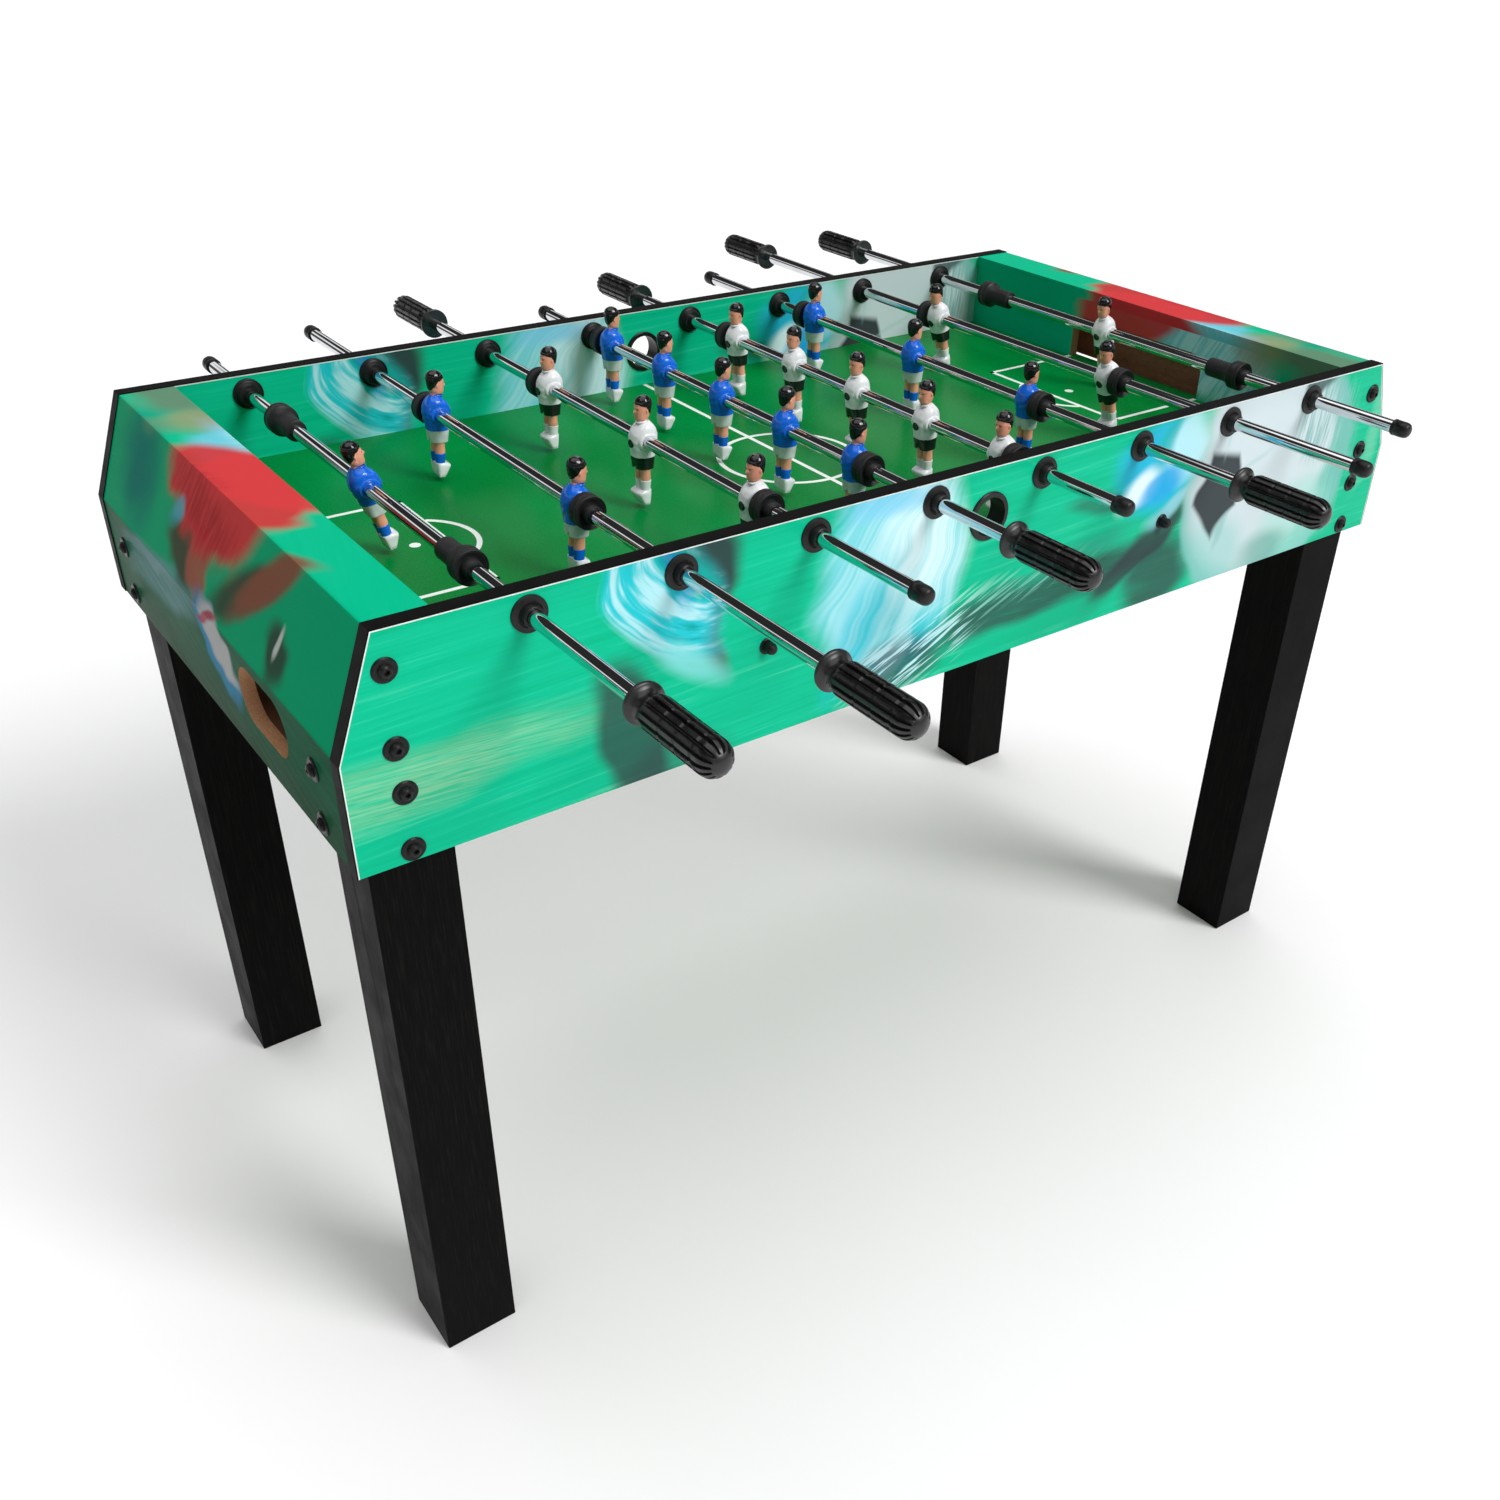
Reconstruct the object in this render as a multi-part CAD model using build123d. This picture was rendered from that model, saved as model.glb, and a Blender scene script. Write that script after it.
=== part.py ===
"""Eight-rod foosball table: cabinet, legs, playfield and eight sliding, spinning rods of men.

Units are millimetres. +X runs along the table, +Y from the front side panel to the back one,
and +Z is up. The origin is on the floor, midway between the legs.
"""
from build123d import *
from math import hypot
import os

# ---- cabinet -------------------------------------------------------------------------------
LENGTH = 1220.0            # over the end faces, from the crease down
TOP_LENGTH = 1148.0        # along the top edge
WIDTH = 606.0              # over the two side panels
HEIGHT = 768.0             # floor to the top edge
PANEL_HEIGHT = 194.0
CREASE_DROP = 97.0         # top edge down to the crease of the flared ends
SIDE_THICK = 15.0
END_THICK = 12.0
TRIM = 1.0                 # black edge band
PANEL_FIT = 0.1            # play of a loose part in its hole
INNER_Y = WIDTH / 2 - SIDE_THICK

# ---- playfield and goals -------------------------------------------------------------------
FIELD_Z = 682.0
FIELD_THICK = 9.0
GOAL_WALL_X = 523.0        # field side of each goal wall
GOAL_WIDTH = 208.0
GOAL_HEIGHT = 51.0
GOAL_CORNER = 18.0
RETURN_WIDTH = 106.0       # ball-return slot in each end
RETURN_HEIGHT = 52.0
RETURN_Y = 133.0
RETURN_Z = 635.0
ENTRY_Z = 721.0            # ball-entry hole at mid-length of both side panels
ENTRY_BORE = 36.0
ENTRY_TUBE = 39.6
ENTRY_FLANGE = 46.0

# ---- legs and inner woodwork ---------------------------------------------------------------
LEG_SIZE = 70.0
LEG_WALL = 12.0
LEG_HEIGHT = 655.0
LEG_SOLE = 20.0
LEG_OUT_X = LENGTH / 2 - TRIM - END_THICK
BEAM_X = 243.0             # cross beams under the playfield
BEAM_W = 30.0
BEAM_H = 28.0
CLEAT_W = 20.0
CLEAT_H = 16.0
BLOCK_DEPTH = 30.0
BLOCK_LOW = 660.0
BLOCK_IN_X = 545.0
TRAY_SKIN = 3.0
TRAY_Z = 607.5
TRAY_RISE = 16.5
TRAY_HALF = INNER_Y - LEG_SIZE - 0.2

# ---- rods ----------------------------------------------------------------------------------
ROD_Z = 748.5
ROD_PITCH = 130.0
ROD_R = 6.35
ROD_WALL = 1.2
RUNNING = 0.05             # radial play of the rod in its bearings and bumpers
BORE_R = ROD_R + RUNNING
HANDLE_LENGTH = 95.0
HANDLE_DEPTH = 70.0        # how far the rod reaches into the handle
CAP_LENGTH = 18.0
CAP_DEPTH = 13.5
STOP_Y = INNER_Y - 8.0     # inner face of the bearings, where the bumpers stop
MAN_HALF = 11.5
BUMPER_GAP = 0.4
BUMPER_LENGTH = 19.0
SLEEVE_LENGTH = 33.0       # long bumper sleeve of the goalie rods
GOALIE_SLEEVE_Y = 160.0

# Each rod: number of men, spacing, handle end and cap end from mid-rod,
# side of the handle (-1 front, +1 back), slide and lean of the men at rest.
RODS = [
    dict(men=1, spacing=0.0, handle=551.0, cap=413.0, side=-1, slide=-4.0, lean=13.5),
    dict(men=2, spacing=276.0, handle=586.5, cap=469.0, side=-1, slide=-2.0, lean=-4.0),
    dict(men=3, spacing=182.0, handle=550.0, cap=412.0, side=1, slide=-33.5, lean=-2.0),
    dict(men=5, spacing=109.0, handle=520.6, cap=380.0, side=-1, slide=27.0, lean=-2.5),
    dict(men=5, spacing=109.0, handle=520.6, cap=380.0, side=1, slide=-29.3, lean=2.5),
    dict(men=3, spacing=182.0, handle=550.0, cap=412.0, side=-1, slide=34.0, lean=0.0),
    dict(men=2, spacing=276.0, handle=586.5, cap=469.0, side=1, slide=2.0, lean=13.5),
    dict(men=1, spacing=0.0, handle=551.0, cap=413.0, side=1, slide=-8.0, lean=11.0),
]

# ---- fasteners -----------------------------------------------------------------------------
BOLT_R = 2.95
BOLT_HEAD_R = 5.6
BOLT_HEAD_H = 3.6
BOLT_LENGTH = 35.0         # under the head
BOLT_HOLE_R = 3.4
INSERT_R = 4.5
INSERT_LENGTH = 11.8
WASHER_R = 10.0
WASHER_H = 1.6
HOOD_BOLT_X = 567.0
HOOD_BOLT_Z = (735.8, 672.5)
LEG_BOLT_X = 565.0
LEG_BOLT_Z = (634.5, 584.5)
END_BOLT_Y = 241.5
END_BOLT_Z = (638.0, 589.6)
BEAM_BOLT_Z = 661.0
BEAM_BOLT_R = 3.0
BEAM_BOLT_LENGTH = 50.0
BEAM_NUT_R = 5.2
BEAM_NUT_H = 11.0
BEAM_WASHER_R = 7.5

UP = Vector(0, 0, 1)


def rod_x(index):
    """X of rod number index, counted from 0 at the left end."""
    return (index - (len(RODS) - 1) / 2) * ROD_PITCH


def along(direction, x, y, z):
    """Place with its local Z pointing along direction and its origin at x, y, z."""
    return Plane(origin=(x, y, z), z_dir=direction).location


def turned(points, location):
    """Solid of revolution of (radius, height) points about the location's local Z."""
    face = Polygon(*[(r, h) for r, h in points], align=None)
    solid = revolve(Plane.XZ * face, axis=Axis.Z, revolution_arc=360)
    return location * solid


def cylinder(radius, length, location):
    """Cylinder that starts at the location and runs along its local Z."""
    return location * Cylinder(radius, length, align=(Align.CENTER, Align.CENTER, Align.MIN))


def block(x0, x1, y0, y1, z0, z1):
    """Box between two corners."""
    box = Box(x1 - x0, y1 - y0, z1 - z0)
    return Pos((x0 + x1) / 2, (y0 + y1) / 2, (z0 + z1) / 2) * box


def solids_of(*shapes):
    """One compound of every separate solid in the shapes."""
    found = []
    for shape in shapes:
        found.extend(shape.solids())
    return Compound(found)


# ---- cabinet -------------------------------------------------------------------------------
def half_length(z, inset):
    """Half length of the flared end at height z, measured inset mm inside its surface."""
    slope = (LENGTH - TOP_LENGTH) / 2 / CREASE_DROP
    return TOP_LENGTH / 2 + slope * (HEIGHT - z) - inset * hypot(1, slope)


def crease_height(inset):
    """Height where the flared part meets the upright part, inset mm inside the surface."""
    slope = (LENGTH - TOP_LENGTH) / 2 / CREASE_DROP
    return HEIGHT - (LENGTH / 2 - inset - half_length(HEIGHT, inset)) / slope


def cabinet_outline(inset, bottom):
    """Side view of the cabinet, drawn in from the top and the ends by inset."""
    top = HEIGHT - inset
    crease = crease_height(inset)
    half_top = half_length(top, inset)
    half_full = LENGTH / 2 - inset
    right = [(half_top, top), (half_full, crease), (half_full, bottom)]
    left = [(-x, z) for x, z in reversed(right)]
    return right + left


def prism_y(points, y0, y1):
    """Outline in X and Z, as thick as y0 to y1."""
    face = Plane.XZ.offset(-y1) * Polygon(*points, align=None)
    return extrude(face, amount=y1 - y0, dir=(0, -1, 0))


def prism_x(points, x0, x1):
    """Outline in Y and Z, as thick as x0 to x1."""
    face = Plane.YZ.offset(x0) * Polygon(*points, align=None)
    return extrude(face, amount=x1 - x0, dir=(1, 0, 0))


def side_bolt_places():
    """X and Z of the eight bolts of one side panel, four near each end."""
    places = []
    for end in (-1, 1):
        places.extend((end * HOOD_BOLT_X, z) for z in HOOD_BOLT_Z)
        places.extend((end * LEG_BOLT_X, z) for z in LEG_BOLT_Z)
    return places


def side_panel(side):
    """Printed side board with its bearing, ball-entry and bolt holes."""
    y_face = side * WIDTH / 2
    low, high = sorted((y_face, side * INNER_Y))
    bottom = HEIGHT - PANEL_HEIGHT
    board = prism_y(cabinet_outline(TRIM, bottom), low, high)
    inward = (0, -side, 0)
    holes = []
    for index in range(len(RODS)):
        place = along(inward, rod_x(index), y_face, ROD_Z)
        holes.append(cylinder(BORE_R + 2 + PANEL_FIT, SIDE_THICK, place))
    for x, z in side_bolt_places():
        holes.append(cylinder(BOLT_HOLE_R, SIDE_THICK, along(inward, x, y_face, z)))
    for x in (-BEAM_X, BEAM_X):
        place = along(inward, x, y_face, BEAM_BOLT_Z)
        holes.append(cylinder(BEAM_BOLT_R + PANEL_FIT, SIDE_THICK, place))
    entry = along(inward, 0, y_face, ENTRY_Z)
    holes.append(cylinder(ENTRY_TUBE / 2 + PANEL_FIT, SIDE_THICK, entry))
    return board - holes


def edge_trim(side):
    """Edge band over the top and the four end edges of one side panel."""
    low, high = sorted((side * WIDTH / 2, side * INNER_Y))
    bottom = HEIGHT - PANEL_HEIGHT
    outer = prism_y(cabinet_outline(0, bottom), low, high)
    return outer - prism_y(cabinet_outline(TRIM, bottom), low, high)


def end_hood(end):
    """Folded end board: shelf, flared face and upright face with the ball-return slot."""
    bottom = HEIGHT - PANEL_HEIGHT
    outer = prism_y(cabinet_outline(TRIM, bottom), -INNER_Y, INNER_Y)
    inner = prism_y(cabinet_outline(TRIM + END_THICK, bottom), -INNER_Y, INNER_Y)
    keep_low, keep_high = sorted((end * GOAL_WALL_X, end * LENGTH / 2))
    keep = block(keep_low, keep_high, -INNER_Y, INNER_Y, bottom, HEIGHT)
    shell = (outer - inner) & keep
    face = SlotOverall(RETURN_WIDTH, RETURN_HEIGHT)
    start = Plane(origin=(end * (LENGTH / 2), end * RETURN_Y, RETURN_Z), x_dir=(0, 1, 0), z_dir=(-end, 0, 0))
    shell -= extrude(start * face, amount=2 * END_THICK)
    outward = (-end, 0, 0)
    for y in (-END_BOLT_Y, END_BOLT_Y):
        for z in END_BOLT_Z:
            shell -= cylinder(BOLT_HOLE_R, 2 * END_THICK, along(outward, end * LENGTH / 2, y, z))
    return shell


def goal_wall(end):
    """Upright wall at one end of the playfield, with the goal mouth cut up from the field."""
    low, high = sorted((end * GOAL_WALL_X, end * (GOAL_WALL_X + END_THICK)))
    shelf_under = HEIGHT - TRIM - END_THICK
    wall = block(low, high, -INNER_Y, INNER_Y, FIELD_Z, shelf_under)
    half = GOAL_WIDTH / 2
    mouth = block(low, high, -half, half, FIELD_Z, FIELD_Z + GOAL_HEIGHT)
    upper = [edge for edge in mouth.edges().filter_by(Axis.X) if edge.center().Z > FIELD_Z + 1]
    return wall - fillet(upper, GOAL_CORNER)


def playfield():
    """Flat board between the side panels, reaching under both goal walls."""
    end = GOAL_WALL_X + END_THICK
    return block(-end, end, -INNER_Y, INNER_Y, FIELD_Z - FIELD_THICK, FIELD_Z)


def leg(end, side):
    """Hollow square leg with a closed sole, bored for its four bolts."""
    x0, x1 = sorted((end * LEG_OUT_X, end * (LEG_OUT_X - LEG_SIZE)))
    y0, y1 = sorted((side * INNER_Y, side * (INNER_Y - LEG_SIZE)))
    w = LEG_WALL
    box = block(x0, x1, y0, y1, 0, LEG_HEIGHT)
    box -= block(x0 + w, x1 - w, y0 + w, y1 - w, LEG_SOLE, LEG_HEIGHT)
    for z in LEG_BOLT_Z:
        place = along((0, -side, 0), end * LEG_BOLT_X, side * INNER_Y, z)
        box -= cylinder(INSERT_R, LEG_WALL, place)
    for z in END_BOLT_Z:
        place = along((-end, 0, 0), end * LEG_OUT_X, side * END_BOLT_Y, z)
        box -= cylinder(INSERT_R, LEG_WALL, place)
    return box


def corner_block(end, side):
    """Block glued into a hood corner, which takes the two upper side-panel bolts."""
    inset = TRIM + END_THICK
    top = HEIGHT - inset
    crease = crease_height(inset)
    outline = [
        (BLOCK_IN_X, top),
        (half_length(top, inset), top),
        (LENGTH / 2 - inset, crease),
        (LENGTH / 2 - inset, BLOCK_LOW),
        (BLOCK_IN_X, BLOCK_LOW),
    ]
    y0, y1 = sorted((side * INNER_Y, side * (INNER_Y - BLOCK_DEPTH)))
    wood = prism_y([(end * x, z) for x, z in outline], y0, y1)
    for z in HOOD_BOLT_Z:
        place = along((0, -side, 0), end * HOOD_BOLT_X, side * INNER_Y, z)
        wood -= cylinder(INSERT_R, INSERT_LENGTH, place)
        wood -= cylinder(BOLT_R + PANEL_FIT, BLOCK_DEPTH - 6, place)
    return wood


def cross_beam(x):
    """Beam under the playfield from panel to panel, bored at both ends for its bolts."""
    top = FIELD_Z - FIELD_THICK
    beam = block(x - BEAM_W / 2, x + BEAM_W / 2, -INNER_Y, INNER_Y, top - BEAM_H, top)
    for side in (-1, 1):
        place = along((0, -side, 0), x, side * INNER_Y, BEAM_BOLT_Z)
        beam -= cylinder(BEAM_BOLT_R + PANEL_FIT, BEAM_BOLT_LENGTH - SIDE_THICK + 1, place)
    return beam


def end_cleat(end):
    """Batten that carries one end of the playfield and the tray's inner wall."""
    x0, x1 = sorted((end * (GOAL_WALL_X + 1), end * (GOAL_WALL_X + 1 - CLEAT_W)))
    top = FIELD_Z - FIELD_THICK
    return block(x0, x1, -INNER_Y, INNER_Y, top - CLEAT_H, top)


def ball_tray(end):
    """Sloping tray behind one goal that rolls the ball to its return slot."""
    inner = GOAL_WALL_X + 1
    x0, x1 = sorted((end * inner, end * (LEG_OUT_X - 0.2)))
    near = end * TRAY_HALF
    bend = end * (RETURN_Y - 23)
    far = -end * TRAY_HALF
    profile = [
        (near, TRAY_Z),
        (bend, TRAY_Z),
        (far, TRAY_Z + TRAY_RISE),
        (far, TRAY_Z + TRAY_RISE - TRAY_SKIN),
        (bend, TRAY_Z - TRAY_SKIN),
        (near, TRAY_Z - TRAY_SKIN),
    ]
    floor = prism_x(profile, x0, x1)
    w0, w1 = sorted((end * inner, end * (inner + TRAY_SKIN)))
    top = FIELD_Z - FIELD_THICK
    return floor + block(w0, w1, -TRAY_HALF, TRAY_HALF, TRAY_Z - TRAY_SKIN, top)


# ---- bearings and ball-entry rings -----------------------------------------------------------
def bearing_bush(x, side):
    """Flanged plastic bush pushed through a side panel from outside."""
    tube_r = BORE_R + 2
    profile = [
        (BORE_R, 9.0), (8.9, 9.0), (9.3, 3.6), (14.2, 1.9), (15.0, 1.2), (15.0, 0.0),
        (tube_r, 0.0), (tube_r, -(SIDE_THICK + 7.5)), (BORE_R, -(SIDE_THICK + 7.5)),
    ]
    return turned(profile, along((0, side, 0), x, side * WIDTH / 2, ROD_Z))


def bearing_nut(x, side):
    """Flanged ring that locks a bush on the playfield side of the panel."""
    bore = BORE_R + 2 + PANEL_FIT
    profile = [(bore, 0.0), (15.0, 0.0), (15.0, 2.6), (14.0, 3.4), (11.4, 4.4), (10.4, 8.0), (bore, 8.0)]
    return turned(profile, along((0, -side, 0), x, side * INNER_Y, ROD_Z))


def ball_entry_ring(side):
    """Flanged tube that lines a ball-entry hole, and its inner retaining ring."""
    bore, tube, flange = ENTRY_BORE / 2, ENTRY_TUBE / 2, ENTRY_FLANGE / 2
    depth = SIDE_THICK + 2.4
    liner = [(bore, 2.0), (flange - 1, 2.0), (flange, 1.0), (flange, 0.0), (tube, 0.0), (tube, -depth), (bore, -depth)]
    inner = tube + PANEL_FIT
    keeper = [(inner, 0.0), (flange - 0.5, 0.0), (flange - 0.5, 1.4), (flange - 1.5, 2.2), (inner, 2.2)]
    outside = along((0, side, 0), 0, side * WIDTH / 2, ENTRY_Z)
    inside = along((0, -side, 0), 0, side * INNER_Y, ENTRY_Z)
    return solids_of(turned(liner, outside), turned(keeper, inside))


# ---- fasteners -----------------------------------------------------------------------------
def fastener_places():
    """Outward direction and place of the 24 bolts of the cabinet."""
    places = []
    for side in (-1, 1):
        for x, z in side_bolt_places():
            places.append(((0, side, 0), (x, side * WIDTH / 2, z)))
    face = LENGTH / 2 - TRIM
    for end in (-1, 1):
        for y in (-END_BOLT_Y, END_BOLT_Y):
            for z in END_BOLT_Z:
                places.append(((end, 0, 0), (end * face, y, z)))
    return places


def beam_bolt_places():
    """Outward direction and place of the four cross-beam bolts."""
    return [((0, side, 0), (x, side * WIDTH / 2, BEAM_BOLT_Z)) for side in (-1, 1) for x in (-BEAM_X, BEAM_X)]


def button_bolt(direction, place):
    """Button-head bolt with a hexagon socket, seated on its washer."""
    head = [
        (0.0, -BOLT_LENGTH), (BOLT_R, -BOLT_LENGTH), (BOLT_R, WASHER_H), (BOLT_HEAD_R, WASHER_H),
        (BOLT_HEAD_R, WASHER_H + 0.9), (4.7, WASHER_H + 2.7), (3.2, WASHER_H + BOLT_HEAD_H),
        (0.0, WASHER_H + BOLT_HEAD_H),
    ]
    bolt = turned(head, along(direction, *place))
    socket = extrude(RegularPolygon(2.3, 6), amount=2.4)
    x, y, z = Vector(*place) + Vector(*direction) * (WASHER_H + BOLT_HEAD_H - 2.4)
    return bolt - along(direction, x, y, z) * socket


def beam_bolt(direction, place):
    """Cross-beam bolt with a tall domed head."""
    top = BEAM_NUT_H
    profile = [
        (0.0, -BEAM_BOLT_LENGTH), (BEAM_BOLT_R, -BEAM_BOLT_LENGTH), (BEAM_BOLT_R, WASHER_H),
        (BEAM_NUT_R, WASHER_H), (BEAM_NUT_R, top - 3.5), (4.2, top - 1.2), (2.2, top), (0.0, top),
    ]
    return turned(profile, along(direction, *place))


def washer(outer, bore, direction, place):
    """Flat washer with a broken outer edge."""
    profile = [(bore, 0.0), (outer, 0.0), (outer, WASHER_H - 0.9), (outer - 1.0, WASHER_H), (bore, WASHER_H)]
    return turned(profile, along(direction, *place))


def insert_nut(direction, place, thickness):
    """Threaded sleeve set into the wood behind a board of the given thickness."""
    x, y, z = Vector(*place) - Vector(*direction) * thickness
    profile = [(BOLT_R + 0.03, 0.0), (INSERT_R - 0.02, 0.0), (INSERT_R - 0.02, -11.6), (BOLT_R + 0.03, -11.6)]
    return turned(profile, along(direction, x, y, z))


def insert_nuts():
    """All inserts: in the legs and the corner blocks."""
    nuts = []
    for direction, place in fastener_places():
        thickness = SIDE_THICK if direction[1] else END_THICK
        nuts.append(insert_nut(direction, place, thickness))
    return nuts


# ---- rods ----------------------------------------------------------------------------------
def man():
    """Moulded player facing +X, with the rod axis along Y at its origin."""
    body = loft([Pos(2.6, 0, -49.0) * Rectangle(15, 20), Pos(0.4, 0, -61.5) * Rectangle(7.6, 18.4)])
    for y in (-4.8, 4.8):
        body += Pos(0, y, -50) * extrude(Ellipse(5.4, 4.7), amount=27)
    body += loft([Pos(0, 0, -26.5) * Rectangle(18, 20), Pos(0, 0, -13) * Rectangle(21, 21)])
    rings = ((-14.0, 11.0, 10.4), (0.0, 14.0, MAN_HALF), (10.0, 12.6, 11.2), (18.0, 6.5, 7.0))
    body += loft([Pos(0, 0, z) * Ellipse(a, b) for z, a, b in rings])
    body += Pos(0, 0, 17) * extrude(Ellipse(7.2, 6.0), amount=16)
    body += Pos(0, 0, 33.3) * Sphere(8.0)
    body -= cylinder(BORE_R, 4 * MAN_HALF, along((0, 1, 0), 0, -2 * MAN_HALF, 0))
    body -= cylinder(4.2, 8.0, along((1, 0, 0), 10.4, 0, 0))
    return body - cylinder(1.6, 22.0, along((1, 0, 0), -10.0, 0, 0))


def man_screw():
    """Cross screw that pins a man to the rod, its head sunk in the chest."""
    profile = [(0.0, 0.0), (1.5, 0.0), (1.5, 20.4), (3.4, 20.4), (3.4, 21.6), (2.2, 22.4), (0.0, 22.4)]
    return turned(profile, along((1, 0, 0), -9.6, 0, 0))


def man_places(index):
    """Y of every man on a rod, at rest."""
    rod = RODS[index]
    middle = (rod["men"] - 1) / 2
    return [rod["slide"] + (n - middle) * rod["spacing"] for n in range(rod["men"])]


def standing(index, y):
    """Place of a man: blue rods face +X and white rods face -X, leaning about the rod."""
    facing = 0 if index in (0, 1, 3, 5) else 180
    lean = RODS[index]["lean"]
    return Pos(rod_x(index), y, ROD_Z) * Rot(0, -lean, 0) * Rot(0, 0, facing)


def rod_tube(index):
    """Chromed tube from inside the handle to inside the end cap, cross-drilled for the men."""
    rod = RODS[index]
    handle_end = rod["side"] * (rod["handle"] - HANDLE_LENGTH + HANDLE_DEPTH) + rod["slide"]
    cap_end = -rod["side"] * (rod["cap"] - CAP_LENGTH + CAP_DEPTH) + rod["slide"]
    low, high = sorted((handle_end, cap_end))
    place = along((0, 1, 0), rod_x(index), low, ROD_Z)
    tube = cylinder(ROD_R, high - low, place) - cylinder(ROD_R - ROD_WALL, high - low, place)
    for y in man_places(index):
        tube -= standing(index, y) * cylinder(1.7, 4 * ROD_R, along((1, 0, 0), -2 * ROD_R, 0, 0))
    return tube


def handle(index):
    """Grip with an end flange, blind-bored for the rod, and its set screw."""
    rod = RODS[index]
    length = HANDLE_LENGTH
    profile = [
        (BORE_R, 0.0), (15.4, 0.0), (16.0, 0.8), (16.0, 2.4), (15.2, 3.2), (11.6, 5.4), (10.6, 8.0),
        (10.6, 12.0), (12.6, 14.0), (13.8, 17.5), (13.8, length - 11.5), (12.4, length - 6.0),
        (9.2, length - 2.2), (4.8, length - 0.5), (0.0, length), (0.0, HANDLE_DEPTH + 1.0),
        (BORE_R, HANDLE_DEPTH + 1.0),
    ]
    start = rod["side"] * (rod["handle"] - length) + rod["slide"]
    grip = turned(profile, along((0, rod["side"], 0), rod_x(index), start, ROD_Z))
    y = start + rod["side"] * 10.0
    screw_place = along(UP, rod_x(index), y, ROD_Z + BORE_R + 0.05)
    grip -= cylinder(2.0, 8.0, screw_place)
    return solids_of(grip, cylinder(1.95, 3.8, screw_place))


def end_cap(index):
    """Rounded cap pushed over the free end of the rod."""
    rod = RODS[index]
    length = CAP_LENGTH
    profile = [
        (BORE_R, 0.0), (7.6, 0.0), (8.0, 0.5), (8.0, length - 4.0), (7.2, length - 1.6),
        (4.8, length - 0.3), (0.0, length), (0.0, CAP_DEPTH + 0.5), (BORE_R, CAP_DEPTH + 0.5),
    ]
    side = -rod["side"]
    start = side * (rod["cap"] - length) + rod["slide"]
    return turned(profile, along((0, side, 0), rod_x(index), start, ROD_Z))


def bumpers(index):
    """Pair of rubber bumpers that stop the rod's slide against the bearings."""
    rod = RODS[index]
    goalie = rod["men"] == 1
    reach = (rod["men"] - 1) / 2 * rod["spacing"] + MAN_HALF + BUMPER_GAP
    base = GOALIE_SLEEVE_Y + SLEEVE_LENGTH if goalie else reach
    head = [(14.2, 0.0), (15.0, 1.0), (15.0, 12.0), (13.4, 12.6), (12.6, 13.6), (9.4, 14.2), (8.2, BUMPER_LENGTH)]
    tail = [(BORE_R, BUMPER_LENGTH)]
    if goalie:
        start = [(BORE_R, -SLEEVE_LENGTH), (9.6, -SLEEVE_LENGTH), (10.0, -SLEEVE_LENGTH + 0.8), (10.4, 0.0)]
    else:
        start = [(BORE_R, 0.0)]
    pair = []
    for side in (-1, 1):
        place = along((0, side, 0), rod_x(index), side * base + rod["slide"], ROD_Z)
        pair.append(turned(start + head + tail, place))
    return solids_of(*pair)


def slide_stroke(index):
    """Travel of a rod to each side of mid-table before a bumper meets its bearing."""
    rod = RODS[index]
    reach = (rod["men"] - 1) / 2 * rod["spacing"] + MAN_HALF + BUMPER_GAP
    base = GOALIE_SLEEVE_Y + SLEEVE_LENGTH if rod["men"] == 1 else reach
    return STOP_Y - BUMPER_GAP - base - BUMPER_LENGTH


# ---- all parts -------------------------------------------------------------------------------
def all_parts():
    """Every node of the table by name."""
    both = (-1, 1)
    parts = {}
    for name, side in (("front", -1), ("back", 1)):
        parts["side_panel_" + name] = side_panel(side)
    for name, end in (("left", -1), ("right", 1)):
        parts["end_hood_" + name] = end_hood(end)
        parts["goal_wall_" + name] = goal_wall(end)
        for row, side in (("front", -1), ("back", 1)):
            parts["leg_" + row + "_" + name] = leg(end, side)
    parts["edge_trims"] = solids_of(*[edge_trim(side) for side in both])
    parts["playfield"] = playfield()
    parts["ball_trays"] = solids_of(*[ball_tray(end) for end in both])
    corners = [corner_block(end, side) for end in both for side in both]
    beams = [cross_beam(x) for x in (-BEAM_X, BEAM_X)]
    parts["inner_battens"] = solids_of(*corners, *beams, *[end_cleat(end) for end in both])
    places = [(rod_x(index), side) for index in range(len(RODS)) for side in both]
    parts["bearing_bushes"] = solids_of(*[bearing_bush(x, side) for x, side in places])
    parts["bearing_nuts"] = solids_of(*[bearing_nut(x, side) for x, side in places])
    parts["ball_entry_rings"] = solids_of(*[ball_entry_ring(side) for side in both])
    bolts = [button_bolt(*place) for place in fastener_places()]
    bolts += [beam_bolt(*place) for place in beam_bolt_places()]
    parts["panel_bolts"] = solids_of(*bolts)
    rings = [washer(WASHER_R, BOLT_R + 0.2, *place) for place in fastener_places()]
    rings += [washer(BEAM_WASHER_R, BEAM_BOLT_R + 0.2, *place) for place in beam_bolt_places()]
    parts["panel_washers"] = solids_of(*rings)
    parts["insert_nuts"] = solids_of(*insert_nuts())
    player = man()
    screw = man_screw()
    for index in range(len(RODS)):
        name = "rod_%d_" % (index + 1)
        places = [standing(index, y) for y in man_places(index)]
        parts[name + "tube"] = rod_tube(index)
        parts[name + "men"] = solids_of(*[p * player for p in places], *[p * screw for p in places])
        parts[name + "handle"] = handle(index)
        parts[name + "end_cap"] = end_cap(index)
        parts[name + "bumpers"] = bumpers(index)
    return parts


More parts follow.
